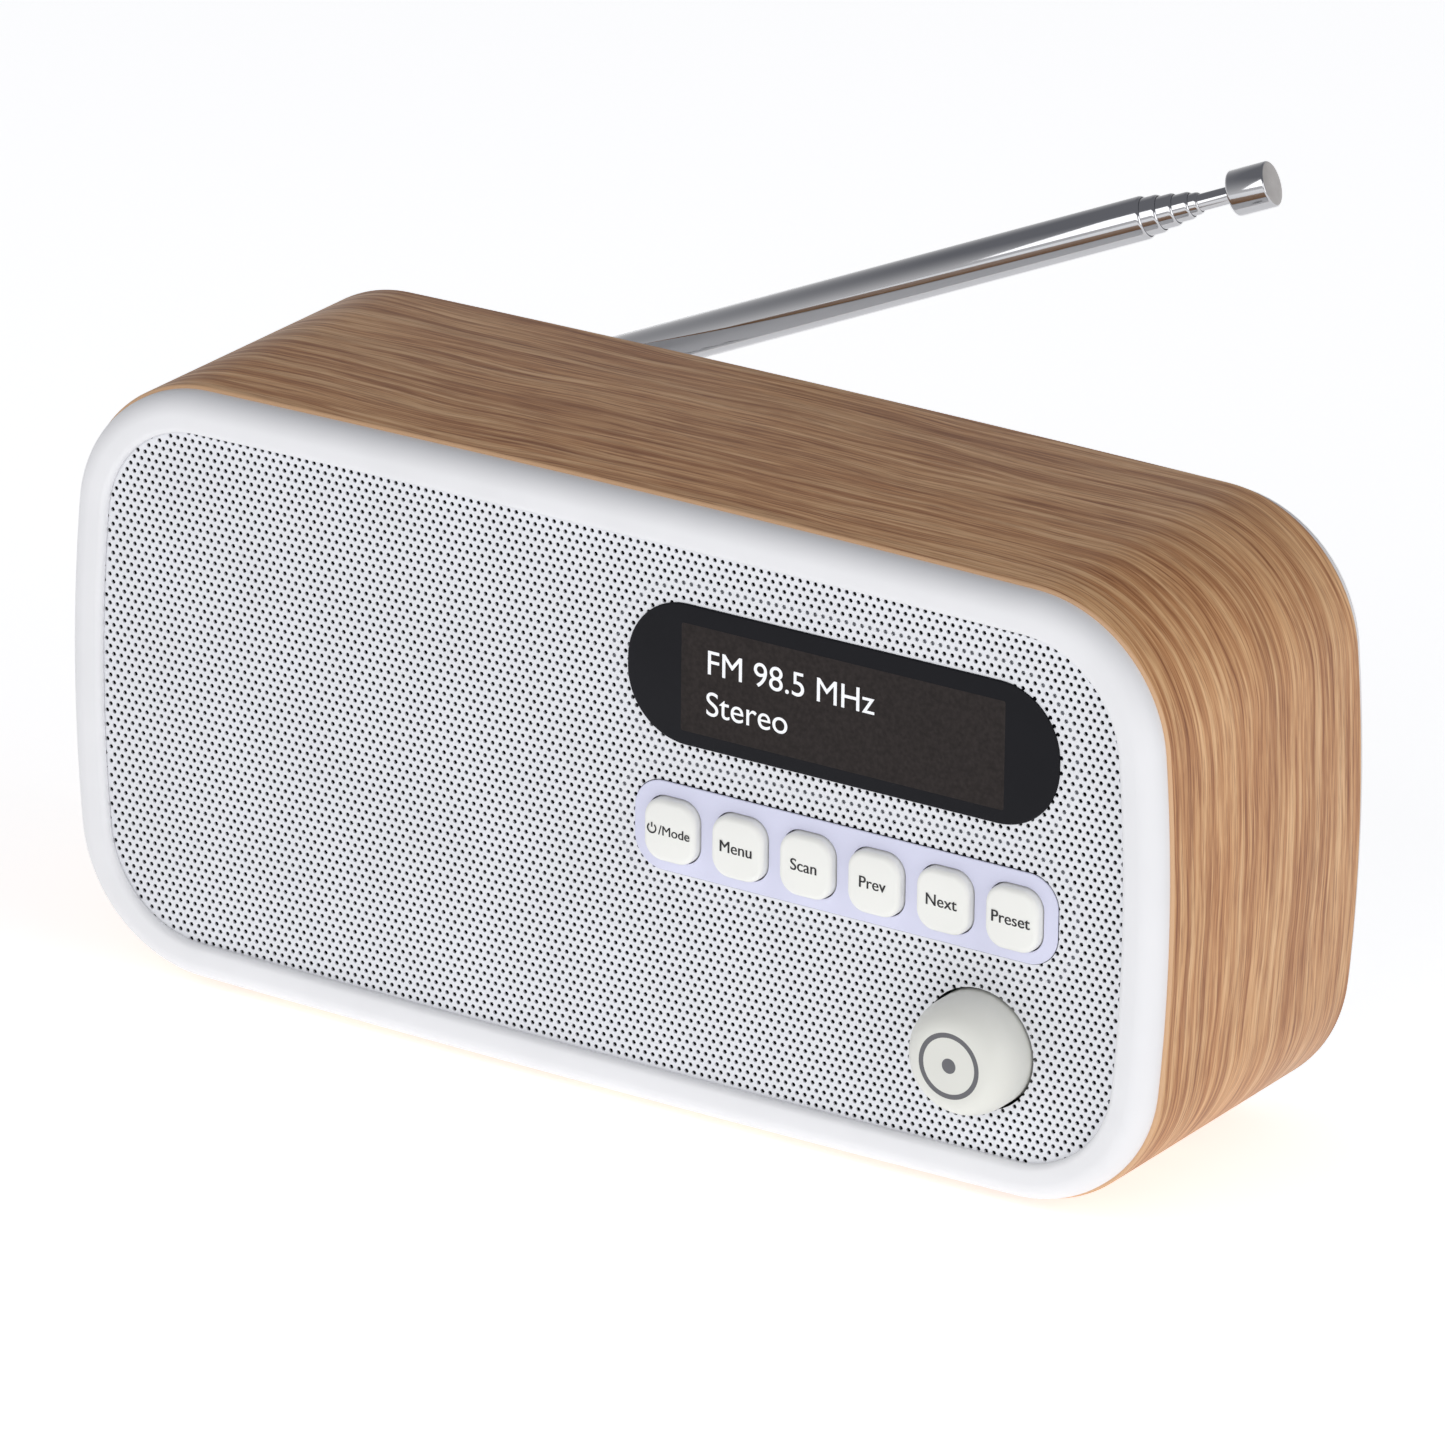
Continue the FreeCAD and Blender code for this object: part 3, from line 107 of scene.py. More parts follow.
class Finish:
    """A procedural material: one shader, with noise in object coordinates around it."""

    def __init__(self, name, colour, roughness, **sockets):
        self.material = bpy.data.materials.new(name)
        self.material.use_nodes = True
        self.nodes = self.material.node_tree.nodes
        self.links = self.material.node_tree.links
        self.shader = self.nodes["Principled BSDF"]
        self.colour = colour
        self.shader.inputs["Base Color"].default_value = (*colour, 1)
        self.shader.inputs["Roughness"].default_value = roughness
        for socket, value in sockets.items():
            self.shader.inputs[socket.replace("_", " ")].default_value = value

    def node(self, kind, **settings):
        made = self.nodes.new(kind)
        for key, value in settings.items():
            setattr(made, key, value)
        return made

    def put(self, source, socket):
        self.links.new(source, self.shader.inputs[socket])

    def coordinates(self, stretch, source=None):
        mapping = self.node("ShaderNodeMapping")
        mapping.inputs["Scale"].default_value = stretch
        source = source or self.node("ShaderNodeTexCoord").outputs["Object"]
        self.links.new(source, mapping.inputs["Vector"])
        return mapping.outputs["Vector"]

    def noise(self, stretch, detail=3, roughness=0.5, distortion=0, source=None):
        made = self.node("ShaderNodeTexNoise")
        made.inputs["Scale"].default_value = 1
        made.inputs["Detail"].default_value = detail
        made.inputs["Roughness"].default_value = roughness
        made.inputs["Distortion"].default_value = distortion
        self.links.new(self.coordinates(stretch, source), made.inputs["Vector"])
        return made.outputs["Fac"]

    def ramp(self, source, stops):
        made = self.node("ShaderNodeValToRGB")
        spots = made.color_ramp.elements
        while len(spots) < len(stops):
            spots.new(0.5)
        for spot, (position, colour) in zip(spots, stops):
            spot.position = position
            spot.color = (*colour, 1) if len(colour) == 3 else colour
        self.links.new(source, made.inputs["Fac"])
        return made.outputs["Color"]

    def maths(self, operation, a, b):
        made = self.node("ShaderNodeMath", operation=operation)
        for socket, value in zip(made.inputs, (a, b)):
            if isinstance(value, (int, float)):
                socket.default_value = value
            else:
                self.links.new(value, socket)
        return made.outputs[0]

    def mix(self, share, a, b, blend="MIX"):
        made = self.node("ShaderNodeMix", data_type="RGBA", blend_type=blend)
        for socket, value in ((made.inputs[0], share), (made.inputs[6], a), (made.inputs[7], b)):
            if isinstance(value, (int, float)):
                socket.default_value = value
            elif isinstance(value, tuple):
                socket.default_value = (*value, 1)
            else:
                self.links.new(value, socket)
        return made.outputs[2]

    def bump(self, height, strength, distance):
        made = self.node("ShaderNodeBump")
        made.inputs["Strength"].default_value = strength
        made.inputs["Distance"].default_value = distance
        self.links.new(height, made.inputs["Height"])
        self.put(made.outputs["Normal"], "Normal")

    def tinted(self, stretch, spread, detail=2):
        """Lets the colour wander a little lighter and darker."""
        dark = tuple(channel * (1 - spread) for channel in self.colour)
        light = tuple(min(1, channel * (1 + spread)) for channel in self.colour)
        source = self.noise((stretch,) * 3, detail)
        self.put(self.ramp(source, ((0.3, dark), (0.7, light))), "Base Color")
        return self


def srgb(red, green, blue):
    """Linear colour of a screen colour given in 0 to 255."""
    def linear(value):
        share = value / 255
        return share / 12.92 if share <= 0.04045 else ((share + 0.055) / 1.055) ** 2.4
    return linear(red), linear(green), linear(blue)


def moulded(name, colour, roughness, grain=2600, strength=0.12, spread=0.02):
    """Moulded plastic with a fine spark-eroded grain."""
    finish = Finish(name, colour, roughness)
    finish.tinted(60, spread)
    finish.bump(finish.noise((grain,) * 3, 2), strength, 0.00005)
    rough = finish.noise((400,) * 3, 2)
    low, high = roughness * 0.9, min(1, roughness * 1.12)
    finish.put(finish.ramp(rough, ((0.3, (low,) * 3), (0.7, (high,) * 3))), "Roughness")
    return finish.material


def metal(name, colour, roughness, grain=900, spread=0.03):
    finish = Finish(name, colour, roughness, Metallic=1.0)
    finish.tinted(grain / 6, spread)
    rough = finish.noise((grain,) * 3, 3)
    low, high = roughness * 0.75, roughness * 1.35
    finish.put(finish.ramp(rough, ((0.3, (low,) * 3), (0.75, (high,) * 3))), "Roughness")
    return finish.material


def swaying_grain(finish):
    """Object coordinates whose depth sways gently, so that lines along the grain curve."""
    drift = finish.maths("SUBTRACT", finish.noise((17, 34, 17), 2), 0.5)
    lean = finish.node("ShaderNodeCombineXYZ")
    finish.links.new(finish.maths("MULTIPLY", drift, 0.008), lean.inputs["Y"])
    bent = finish.node("ShaderNodeVectorMath", operation="ADD")
    finish.links.new(finish.coordinates((1, 1, 1)), bent.inputs[0])
    finish.links.new(lean.outputs[0], bent.inputs[1])
    return bent.outputs[0]


def oak(name):
    """Oak veneer: its grain runs round the cabinet, with its lines side by side in depth."""
    finish = Finish(name, srgb(193, 142, 102), 0.5)
    bent = swaying_grain(finish)
    lines = finish.noise((22, 800, 22), 4, 0.72, source=bent)
    tone = finish.ramp(lines, ((0.36, srgb(157, 103, 60)), (0.45, srgb(184, 131, 84)),
                               (0.53, srgb(203, 155, 107)), (0.63, srgb(219, 177, 130))))
    broad = finish.noise((8, 190, 8), 2, source=bent)
    shade = finish.ramp(broad, ((0.35, (0.90, 0.87, 0.85)), (0.6, (1.03, 1.02, 1.02))))
    tone = finish.mix(1.0, tone, shade, "MULTIPLY")
    fibres = finish.noise((90, 2300, 90), 3, 0.7, source=bent)
    marks = finish.ramp(fibres, ((0.38, (0.66, 0.55, 0.47)), (0.46, (0.94, 0.91, 0.89)),
                                 (0.55, (1.03, 1.03, 1.03)), (0.68, (1.10, 1.12, 1.13))))
    tone = finish.mix(0.85, tone, marks, "MULTIPLY")
    # Painted highlight: the rounded front edge of the sleeve (its front 0.42 mm) is painted a lighter, grain-free
    # oak colour, standing in for the light that edge catches.
    place = finish.node("ShaderNodeSeparateXYZ")
    finish.links.new(finish.coordinates((1, 1, 1)), place.inputs[0])
    edge = finish.maths("LESS_THAN", place.outputs["Y"], (FRONT + 0.42) * MM)
    tone = finish.mix(edge, tone, srgb(214, 172, 132))
    finish.put(tone, "Base Color")
    finish.bump(fibres, 0.2, 0.0002)
    finish.put(finish.ramp(lines, ((0.3, (0.52,) * 3), (0.7, (0.42,) * 3))), "Roughness")
    return finish.material


def cloth(name):
    """Open woven cloth, dark, seen only through the sheet's holes."""
    finish = Finish(name, (0.012, 0.012, 0.013), 0.95)
    weave = finish.node("ShaderNodeTexChecker")
    weave.inputs["Scale"].default_value = 2400
    finish.links.new(finish.coordinates((1, 1, 1)), weave.inputs["Vector"])
    finish.put(finish.mix(weave.outputs["Fac"], (0.010, 0.010, 0.011), (0.02, 0.02, 0.021)),
               "Base Color")
    finish.bump(weave.outputs["Fac"], 0.4, 0.0001)
    return finish.material


def smoked(name, colour, roughness):
    """Glossy dark window with the faintest haze."""
    finish = Finish(name, colour, roughness, Specular_IOR_Level=0.1)
    finish.tinted(90, 0.06)
    finish.bump(finish.noise((1500,) * 3, 2), 0.02, 0.00003)
    return finish.material


def screen_glass(name):
    finish = Finish(name, srgb(46, 41, 40), 0.5, Specular_IOR_Level=0.08)
    finish.tinted(1300, 0.22, 3)
    return finish.material


def lit(name, colour, strength):
    finish = Finish(name, colour, 0.5)
    finish.tinted(500, 0.03)
    finish.shader.inputs["Emission Color"].default_value = (*colour, 1)
    finish.shader.inputs["Emission Strength"].default_value = strength
    return finish.material


def board(name):
    """Solder mask with faint tracks under it."""
    finish = Finish(name, (0.02, 0.16, 0.07), 0.35)
    tracks = finish.node("ShaderNodeTexBrick")
    tracks.inputs["Scale"].default_value = 180
    finish.links.new(finish.coordinates((1, 1, 1)), tracks.inputs["Vector"])
    finish.put(finish.mix(tracks.outputs["Fac"], (0.015, 0.13, 0.055), (0.03, 0.22, 0.10)),
               "Base Color")
    return finish.material


FINISHES = {
    "wood_veneer": oak("oak_veneer"),
    "bezel_white": moulded("bezel_white", srgb(233, 233, 235), 0.5),
    "grille_white": moulded("grille_paint", srgb(229, 230, 234), 0.55, 1800, 0.06),
    "speaker_cloth": cloth("speaker_cloth"),
    "inner_black": moulded("inner_black", (0.02, 0.02, 0.02), 0.6),
    "window_black": smoked("window_black", srgb(24, 24, 28), 0.26),
    "screen_dark": screen_glass("screen_dark"),
    "strip_white": moulded("strip_white", srgb(216, 217, 238), 0.45),
    "button_white": moulded("button_white", srgb(240, 240, 235), 0.48),
    "knob_white": moulded("knob_white", srgb(224, 224, 217), 0.46),
    "board_green": board("board_green"),
    "component_black": moulded("component_black", (0.025, 0.025, 0.025), 0.5),
    "shield_tin": metal("shield_tin", (0.62, 0.61, 0.58), 0.35),
    "steel_zinc": metal("steel_zinc", (0.58, 0.58, 0.57), 0.3),
    "antenna_chrome": metal("antenna_chrome", (0.52, 0.52, 0.535), 0.08, 300, 0.02),
    "magnet_grey": moulded("magnet_grey", (0.06, 0.06, 0.06), 0.7),
    "cone_paper": moulded("cone_paper", (0.03, 0.03, 0.03), 0.85, 900, 0.4),
    "soft_rubber": moulded("soft_rubber", (0.03, 0.03, 0.03), 0.75),
    "cover_white": moulded("cover_white", srgb(226, 226, 227), 0.5, 1700, 0.25),
    "ribbon_grey": moulded("ribbon_grey", (0.4, 0.4, 0.4), 0.5),
    "cell_green": moulded("cell_green", (0.05, 0.18, 0.10), 0.35),
}
PRINT_GREY = moulded("print_grey", srgb(42, 40, 42), 0.75)
RING_GREY = moulded("ring_grey", srgb(100, 100, 104), 0.55)
LIT_WHITE = lit("lit_white", (0.74, 0.75, 0.77), 0.3)
GHOST_GREY = moulded("ghost_grey", srgb(150, 152, 158), 0.6)
TIP_SATIN = metal("tip_satin", (0.42, 0.40, 0.39), 0.34, 500)


# ---- mesh helpers ----

def ring(bm, points, y):
    """A closed loop of edges in a plane of constant depth, in millimetres."""
    verts = [bm.verts.new((x * MM, y * MM, z * MM)) for x, z in points]
    return [bm.edges.new((a, b)) for a, b in zip(verts, verts[1:] + verts[:1])]


def arc_points(x, z, radius, start, end, steps):
    return [(x + radius * math.cos(start + (end - start) * step / steps),
             z + radius * math.sin(start + (end - start) * step / steps))
            for step in range(steps)]


def cabinet_outline(inset, straight=24, corner=28):
    """Four bulging sides and four round corners, moved in by the inset, about the middle."""
    side = ((HEIGHT / 2) ** 2 + SIDE_BULGE ** 2) / (2 * SIDE_BULGE)
    crown = ((WIDTH / 2) ** 2 + CROWN_BULGE ** 2) / (2 * CROWN_BULGE)
    side_x, crown_z = side - WIDTH / 2, crown - HEIGHT / 2
    near, far = crown - CORNER, side - CORNER
    span = math.hypot(side_x, crown_z)
    along = (near * near - far * far + span * span) / (2 * span)
    off = math.sqrt(near * near - along * along)
    corner_x = (crown_z * off - side_x * along) / span
    corner_z = (crown_z * along + side_x * off) / span - crown_z
    lean = math.atan2(corner_z, corner_x + side_x)
    rise = math.atan2(corner_x, corner_z + crown_z)
    quarter = math.pi / 2
    points = []
    for turn in range(2):
        sign = 1 - 2 * turn
        base = turn * math.pi
        points += arc_points(-sign * side_x, 0, side - inset, base - lean, base + lean, straight)
        points += arc_points(sign * corner_x, sign * corner_z, CORNER - inset, base + lean,
                             base + quarter - rise, corner)
        points += arc_points(0, -sign * crown_z, crown - inset, base + quarter - rise,
                             base + quarter + rise, straight)
        points += arc_points(-sign * corner_x, sign * corner_z, CORNER - inset,
                             base + quarter + rise, base + math.pi - lean, corner)
    return [(x, z + MIDDLE) for x, z in points]


def rounded_outline(width, height, corner, x, z, steps=10):
    points = []
    for index, (sign_x, sign_z) in enumerate(((1, 1), (-1, 1), (-1, -1), (1, -1))):
        start = index * math.pi / 2
        points += arc_points(x + sign_x * (width / 2 - corner), z + sign_z * (height / 2 - corner),
                             corner, start, start + math.pi / 2, steps)
        end = start + math.pi / 2
        points.append((x + sign_x * (width / 2 - corner) + corner * math.cos(end),
                       z + sign_z * (height / 2 - corner) + corner * math.sin(end)))
    return points


def quarter_round(inset, y, radius, steps=7):
    """Insets and depths of a round edge that starts beside the wall and ends on the face."""
    return [(inset + radius * (1 - math.cos(step / steps * math.pi / 2)),
             y + radius * (1 - math.sin(step / steps * math.pi / 2)))
            for step in range(steps + 1)]


def finish_piece(bm, name, material, body, replaces=(), smooth=35):
    """Turns a bmesh into a piece that rides on its body and takes a slot's finish."""
    bmesh.ops.remove_doubles(bm, verts=bm.verts, dist=1e-7)
    bmesh.ops.recalc_face_normals(bm, faces=bm.faces)
    mesh = bpy.data.meshes.new(name)
    bm.to_mesh(mesh)
    bm.free()
    mesh.shade_smooth()
    mesh.set_sharp_from_angle(angle=math.radians(smooth))
    piece = bpy.data.objects.new(name, mesh)
    bpy.context.scene.collection.objects.link(piece)
    mesh.materials.append(material)
    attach(piece, body)
    if replaces:
        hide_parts(*replaces)
    return piece


def loft(bm, loops, closed=False):
    """Bridges rings one after another, and the last to the first if the section is closed."""
    pairs = list(zip(loops, loops[1:])) + ([(loops[-1], loops[0])] if closed else [])
    for first, second in pairs:
        bmesh.ops.bridge_loops(bm, edges=first + second)


def cap(bm, loop):
    bmesh.ops.contextual_create(bm, geom=loop)


def turned(name, profile, place, material, body, replaces=(), steps=64, smooth=35):
    """A turned piece: (radius, along) points in millimetres, spun about its own Z, then placed."""
    bm = bmesh.new()
    verts = [bm.verts.new((radius * MM, 0, along * MM)) for radius, along in profile]
    edges = [bm.edges.new(pair) for pair in zip(verts, verts[1:])]
    if profile[0][0] > 1e-6 or profile[-1][0] > 1e-6:
        edges.append(bm.edges.new((verts[-1], verts[0])))
    bmesh.ops.spin(bm, geom=verts + edges, cent=(0, 0, 0), axis=(0, 0, 1),
                   angle=2 * math.pi, steps=steps, use_merge=True)
    bmesh.ops.transform(bm, matrix=place, verts=bm.verts)
    return finish_piece(bm, name, material, body, replaces, smooth)


def flat_text(words, height, x, y, z, align="LEFT", bold=0.0):
    """A bmesh of raised lettering facing the front, struck twice to make it bolder."""
    curve = bpy.data.curves.new("lettering", "FONT")
    curve.body = words
    curve.align_x = align
    curve.size = height * MM / CAPITAL_SHARE
    curve.extrude = LETTER_DEPTH * MM
    holder = bpy.data.objects.new("lettering", curve)
    mesh = bpy.data.meshes.new_from_object(holder)
    bpy.data.objects.remove(holder)
    bm = bmesh.new()
    for shift in (-bold, bold):
        strike = bmesh.new()
        strike.from_mesh(mesh)
        bmesh.ops.transform(strike, matrix=facing_front(x + shift, y - shift / 20, z),
                            verts=strike.verts)
        merge_into(bm, strike)
    bpy.data.meshes.remove(mesh)
    return bm


def facing_front(x, y, z):
    """Stands a flat drawing up to face the front, with its origin at a place in millimetres."""
    return Matrix.Translation((x * MM, y * MM, z * MM)) @ Matrix.Rotation(math.pi / 2, 4, "X")


def merge_into(bm, other):
    mesh = bpy.data.meshes.new("part")
    other.to_mesh(mesh)
    other.free()
    bm.from_mesh(mesh)
    bpy.data.meshes.remove(mesh)


# ---- cabinet and bezel ----

def wooden_sleeve():
    bm = bmesh.new()
    front = quarter_round(0, FRONT, WOOD_ROUND, 5)
    rear = quarter_round(0, FRONT, WOOD_REAR_ROUND, 6)
    section = front[::-1] + [(inset, REAR + FRONT - y) for inset, y in rear]
    section += [(WOOD_WALL, REAR - NUDGE), (WOOD_WALL, FRONT + NUDGE)]
    loft(bm, [ring(bm, cabinet_outline(inset), y) for inset, y in section], closed=True)
    finish_piece(bm, "oak_sleeve", FINISHES["wood_veneer"], "root",
                 ("cabinet_sleeve",))


def bezel():
    bm = bmesh.new()
    face = FRONT - BEZEL_DEPTH
    section = [(BEZEL_STEP, FRONT)] + quarter_round(BEZEL_STEP, face, BEZEL_ROUND, 12)
    section += [(BEZEL_WIDTH - inset, y) for inset, y in
                reversed(quarter_round(0, face + FACE_FALL, LIP_ROUND, 5))]
    section += [(BEZEL_WIDTH, SHEET_FRONT - 2 * NUDGE), (SEAT_INSET, SHEET_FRONT),
                (SEAT_INSET, FRONT + RIM_LENGTH - 2 * NUDGE), (RIM_INSET, FRONT + RIM_LENGTH),
                (RIM_INSET, FRONT + NUDGE)]
    loft(bm, [ring(bm, cabinet_outline(inset), y) for inset, y in section], closed=True)
    finish_piece(bm, "white_bezel", FINISHES["bezel_white"], "root",
                 ("front_bezel",))


# ---- perforated sheet ----

def inside(point, outline):
    """Whether a point lies inside a closed outline."""
    x, z = point
    found = False
    for (x_a, z_a), (x_b, z_b) in zip(outline, outline[1:] + outline[:1]):
        if (z_a > z) != (z_b > z) and x < (x_b - x_a) * (z - z_a) / (z_b - z_a) + x_a:
            found = not found
    return found


def faces_near(bm, outline):
    """The faces whose middles lie within a little more than the outline's own box."""
    xs, zs = [x for x, _ in outline], [z for _, z in outline]
    low_x, high_x = min(xs) - WINDOW_REACH, max(xs) + WINDOW_REACH
    low_z, high_z = min(zs) - WINDOW_REACH, max(zs) + WINDOW_REACH
    found = []
    for face in bm.faces:
        middle = face.calc_center_median() / MM
        if low_x < middle.x < high_x and low_z < middle.z < high_z:
            found.append(face)
    return found


def cut_window(bm, outline):
    """Cuts a convex window out of the flat sheet, edge by edge."""
    for (x_a, z_a), (x_b, z_b) in zip(outline, outline[1:] + outline[:1]):
        span = math.hypot(x_b - x_a, z_b - z_a)
        if span < 1e-6:
            continue
        reach = max(span, SHORTEST_SIDE) + SIDE_REACH
        halfway = Vector(((x_a + x_b) / 2, SHEET_FRONT, (z_a + z_b) / 2))
        faces = [face for face in faces_near(bm, outline)
                 if (face.calc_center_median() / MM - halfway).length < reach]
        edges = {edge for face in faces for edge in face.edges}
        verts = {vert for face in faces for vert in face.verts}
        bmesh.ops.bisect_plane(bm, geom=list(verts) + list(edges) + faces, dist=1e-7,
                               plane_co=(x_a * MM, 0, z_a * MM),
                               plane_no=((z_b - z_a) / span, 0, -(x_b - x_a) / span))
    gone = [face for face in faces_near(bm, outline) if
            inside((face.calc_center_median().x / MM, face.calc_center_median().z / MM), outline)]
    bmesh.ops.delete(bm, geom=gone, context="FACES")


def deep_inside(vert, outline):
    """Whether a vertex would still lie inside the outline if it were moved a margin outward."""
    x, z = vert.co.x / MM, vert.co.z / MM
    middle_x = sum(p for p, _ in outline) / len(outline)
    middle_z = sum(p for _, p in outline) / len(outline)
    reach = math.hypot(x - middle_x, z - middle_z) or 1
    grow = (reach + CUT_MARGIN) / reach
    return inside((middle_x + (x - middle_x) * grow, middle_z + (z - middle_z) * grow), outline)


def around(node, corner, gap, steps=10):
    """The outline of a node seen from the front, grown by a gap; round if it has no corner."""
    low, high = box_mm(node)
    x, z = seen_centre(low, high)
    width, height = high.x - low.x + 2 * gap, high.z - low.z + 2 * gap
    return rounded_outline(width, height, width / 2 if corner is None else corner + gap, x, z,
                           steps)


def triangle_lattice():
    """A flat net of triangles, with one corner where each hole of the sheet goes."""
    row_step = HOLE_PITCH * math.sqrt(3) / 2
    columns, rows = int(WIDTH / HOLE_PITCH) + 2, int(HEIGHT / row_step) + 2
    bm = bmesh.new()
    bmesh.ops.create_grid(bm, x_segments=columns, y_segments=rows, size=0.5)
    for vert in bm.verts:
        column, row = round((vert.co.x + 0.5) * columns), round((vert.co.y + 0.5) * rows)
        vert.co = Vector(((column - columns / 2 + (row % 2) / 2) * HOLE_PITCH * MM,
                          SHEET_FRONT * MM, MIDDLE * MM + (row - rows / 2) * row_step * MM))
    bmesh.ops.triangulate(bm, faces=bm.faces, quad_method="SHORT_EDGE")
    return bm


def perforated_sheet():
    """A staggered pattern of holes: a triangular lattice whose corners are bevelled away."""
    bm = triangle_lattice()
    seat = cabinet_outline(PLATE_INSET + SHEET_MARGIN, 8, 10)
    windows = (around("display_lens", LENS_CORNER, -LENS_LAP),
               around("button_strip", STRIP_CORNER, STRIP_GAP),
               around("tuning_knob", None, KNOB_GAP))
    outside = [face for face in bm.faces
               if any(not inside((v.co.x / MM, v.co.z / MM), seat) for v in face.verts)]
    bmesh.ops.delete(bm, geom=outside, context="FACES")
    for outline in windows:
        gone = [face for face in bm.faces
                if all(deep_inside(v, outline) for v in face.verts)]
        bmesh.ops.delete(bm, geom=gone, context="FACES")
    inner = [vert for vert in bm.verts if not vert.is_boundary]
    made = bmesh.ops.bevel(bm, geom=inner, offset=HOLE_RADIUS * MM, offset_type="OFFSET",
                           segments=1, profile=0.5, affect="VERTICES", material=-1)
    limit = 3 * math.sqrt(3) / 2 * (HOLE_RADIUS * MM) ** 2 * 1.3
    holes = [face for face in made["faces"] if len(face.verts) == 6
             and face.calc_area() < limit]
    bmesh.ops.delete(bm, geom=holes, context="FACES_ONLY")
    for outline in windows:
        cut_window(bm, outline)
    return bm


def speaker_sheet():
    bm = perforated_sheet()
    for name, sign in (("perforated_sheet_left", -1), ("perforated_sheet_right", 1)):
        half = bm.copy()
        gone = [face for face in half.faces
                if (face.calc_center_median().x - SHEET_SPLIT * MM) * sign < 0]
        bmesh.ops.delete(half, geom=gone, context="FACES")
        bmesh.ops.delete(half, geom=[v for v in half.verts if not v.link_faces],
                         context="VERTS")
        for face in half.faces:
            if face.normal.y > 0:
                face.normal_flip()
        bmesh.ops.solidify(half, geom=half.faces[:], thickness=SHEET * MM)
        finish_piece(half, name, FINISHES["grille_white"], "root",
                     ("speaker_grille",))
    bm.free()


RIBS = (("window_rib", "display_lens", LENS_CORNER, 2.5, 3.5),
        ("strip_rib", "button_strip", STRIP_CORNER, 2.7, 3.7))
RIB_DEPTHS = (0.2, 0.3, 0.7, 0.8)


def ghost_ribs():
    """Pale ribs close behind the sheet, round the window and the strip, fill some holes."""
    back = SHEET_FRONT + SHEET
    for name, node, corner, near, far in RIBS:
        bm = bmesh.new()
        section = [(gap, back + depth) for gap, depth in zip((near, far, far, near), RIB_DEPTHS)]
        loft(bm, [ring(bm, around(node, corner, gap, 16), y) for gap, y in section], closed=True)
        finish_piece(bm, name, GHOST_GREY, "root")


# ---- display ----

def display_window():
    low, high = box_mm("display_lens")
    x, z = seen_centre(low, high)
    width, height = high.x - low.x, high.z - low.z
    bm = bmesh.new()
    section = quarter_round(0, low.y, LENS_EDGE, 4)[::-1] + [(0, high.y)]
    loops = [ring(bm, rounded_outline(width - 2 * inset, height - 2 * inset,
                                      LENS_CORNER - inset, x, z, 16), y) for inset, y in section]
    loft(bm, loops)
    cap(bm, loops[0])
    cap(bm, loops[-1])
    finish_piece(bm, "smoked_window", FINISHES["window_black"], "root",
                 ("display_lens",))


def display_screen():
    """The area of the window that shows a readout, and two lit lines on it."""
    low, high = box_mm("display_lens")
    x, z = seen_centre(low, high)
    bm = bmesh.new()
    face = low.y - SCREEN_PROUD
    x, z = x + SCREEN_SHIFT, z - SCREEN_DROP
    outline = rounded_outline(SCREEN_WIDTH, SCREEN_HEIGHT, SCREEN_CORNER, x, z, 3)
    loops = [ring(bm, outline, depth) for depth in (face, low.y + SCREEN_SUNK)]
    loft(bm, loops)
    cap(bm, loops[0])
    cap(bm, loops[1])
    finish_piece(bm, "screen_area", FINISHES["screen_dark"], "root")
    left, top = x - SCREEN_WIDTH / 2, z + SCREEN_HEIGHT / 2
    for name, words, line in (("station_line", "FM 98.5 MHz", 0), ("status_line", "Stereo", 1)):
        bm = flat_text(words, READOUT_HEIGHT, left + READOUT_LEFT, face - READOUT_PROUD,
                       top - READOUT_TOP - READOUT_LINE * line)
        finish_piece(bm, name, LIT_WHITE, "root")


# ---- buttons ----

def power_sign(x, y, z):
    """An open ring with a bar through its gap."""
    bm = bmesh.new()
    inner, outer = SIGN_RADIUS - SIGN_LINE / 2, SIGN_RADIUS + SIGN_LINE / 2
    verts = [bm.verts.new((inner * MM, 0, 0)), bm.verts.new((outer * MM, 0, 0))]
    edge = bm.edges.new(verts)
    turn = Matrix.Rotation(math.pi / 2 + SIGN_GAP, 3, "Z")
    bmesh.ops.rotate(bm, cent=(0, 0, 0), matrix=turn, verts=bm.verts)
    bmesh.ops.spin(bm, geom=verts + [edge], cent=(0, 0, 0), axis=(0, 0, 1),
                   angle=2 * math.pi - 2 * SIGN_GAP, steps=28)
    bar = bmesh.ops.create_grid(bm, x_segments=1, y_segments=1, size=0.5)["verts"]
    bmesh.ops.scale(bm, vec=(SIGN_LINE * MM, SIGN_RADIUS * SIGN_BAR * MM, 1), verts=bar)
    bmesh.ops.translate(bm, vec=(0, SIGN_RADIUS * SIGN_BAR_RISE * MM, 0), verts=bar)
    bmesh.ops.recalc_face_normals(bm, faces=bm.faces)
    bmesh.ops.solidify(bm, geom=bm.faces[:], thickness=SIGN_THICKNESS * MM)
    bmesh.ops.transform(bm, matrix=facing_front(x, y, z), verts=bm.verts)
    return bm


BUTTON_WORDS = (("power", "/Mode"), ("menu", "Menu"), ("scan", "Scan"), ("previous", "Prev"),
                ("next", "Next"), ("preset", "Preset"))


def key_section(front, rear):
    """Insets and depths of a key from the middle of its crowned face to its flange."""
    section = [(KEY_MIDDLE, front), (KEY_SHOULDER, front + KEY_CROWN * KEY_MIDDLE_FALL)]
    section += [(inset, y + KEY_CROWN * KEY_EDGE_FALL) for inset, y in
                quarter_round(0, front, BUTTON_EDGE, 7)][::-1]
    return section + [(0, rear - KEY_FLANGE), (-KEY_FLANGE, rear - KEY_FLANGE),
                      (-KEY_FLANGE, rear)]


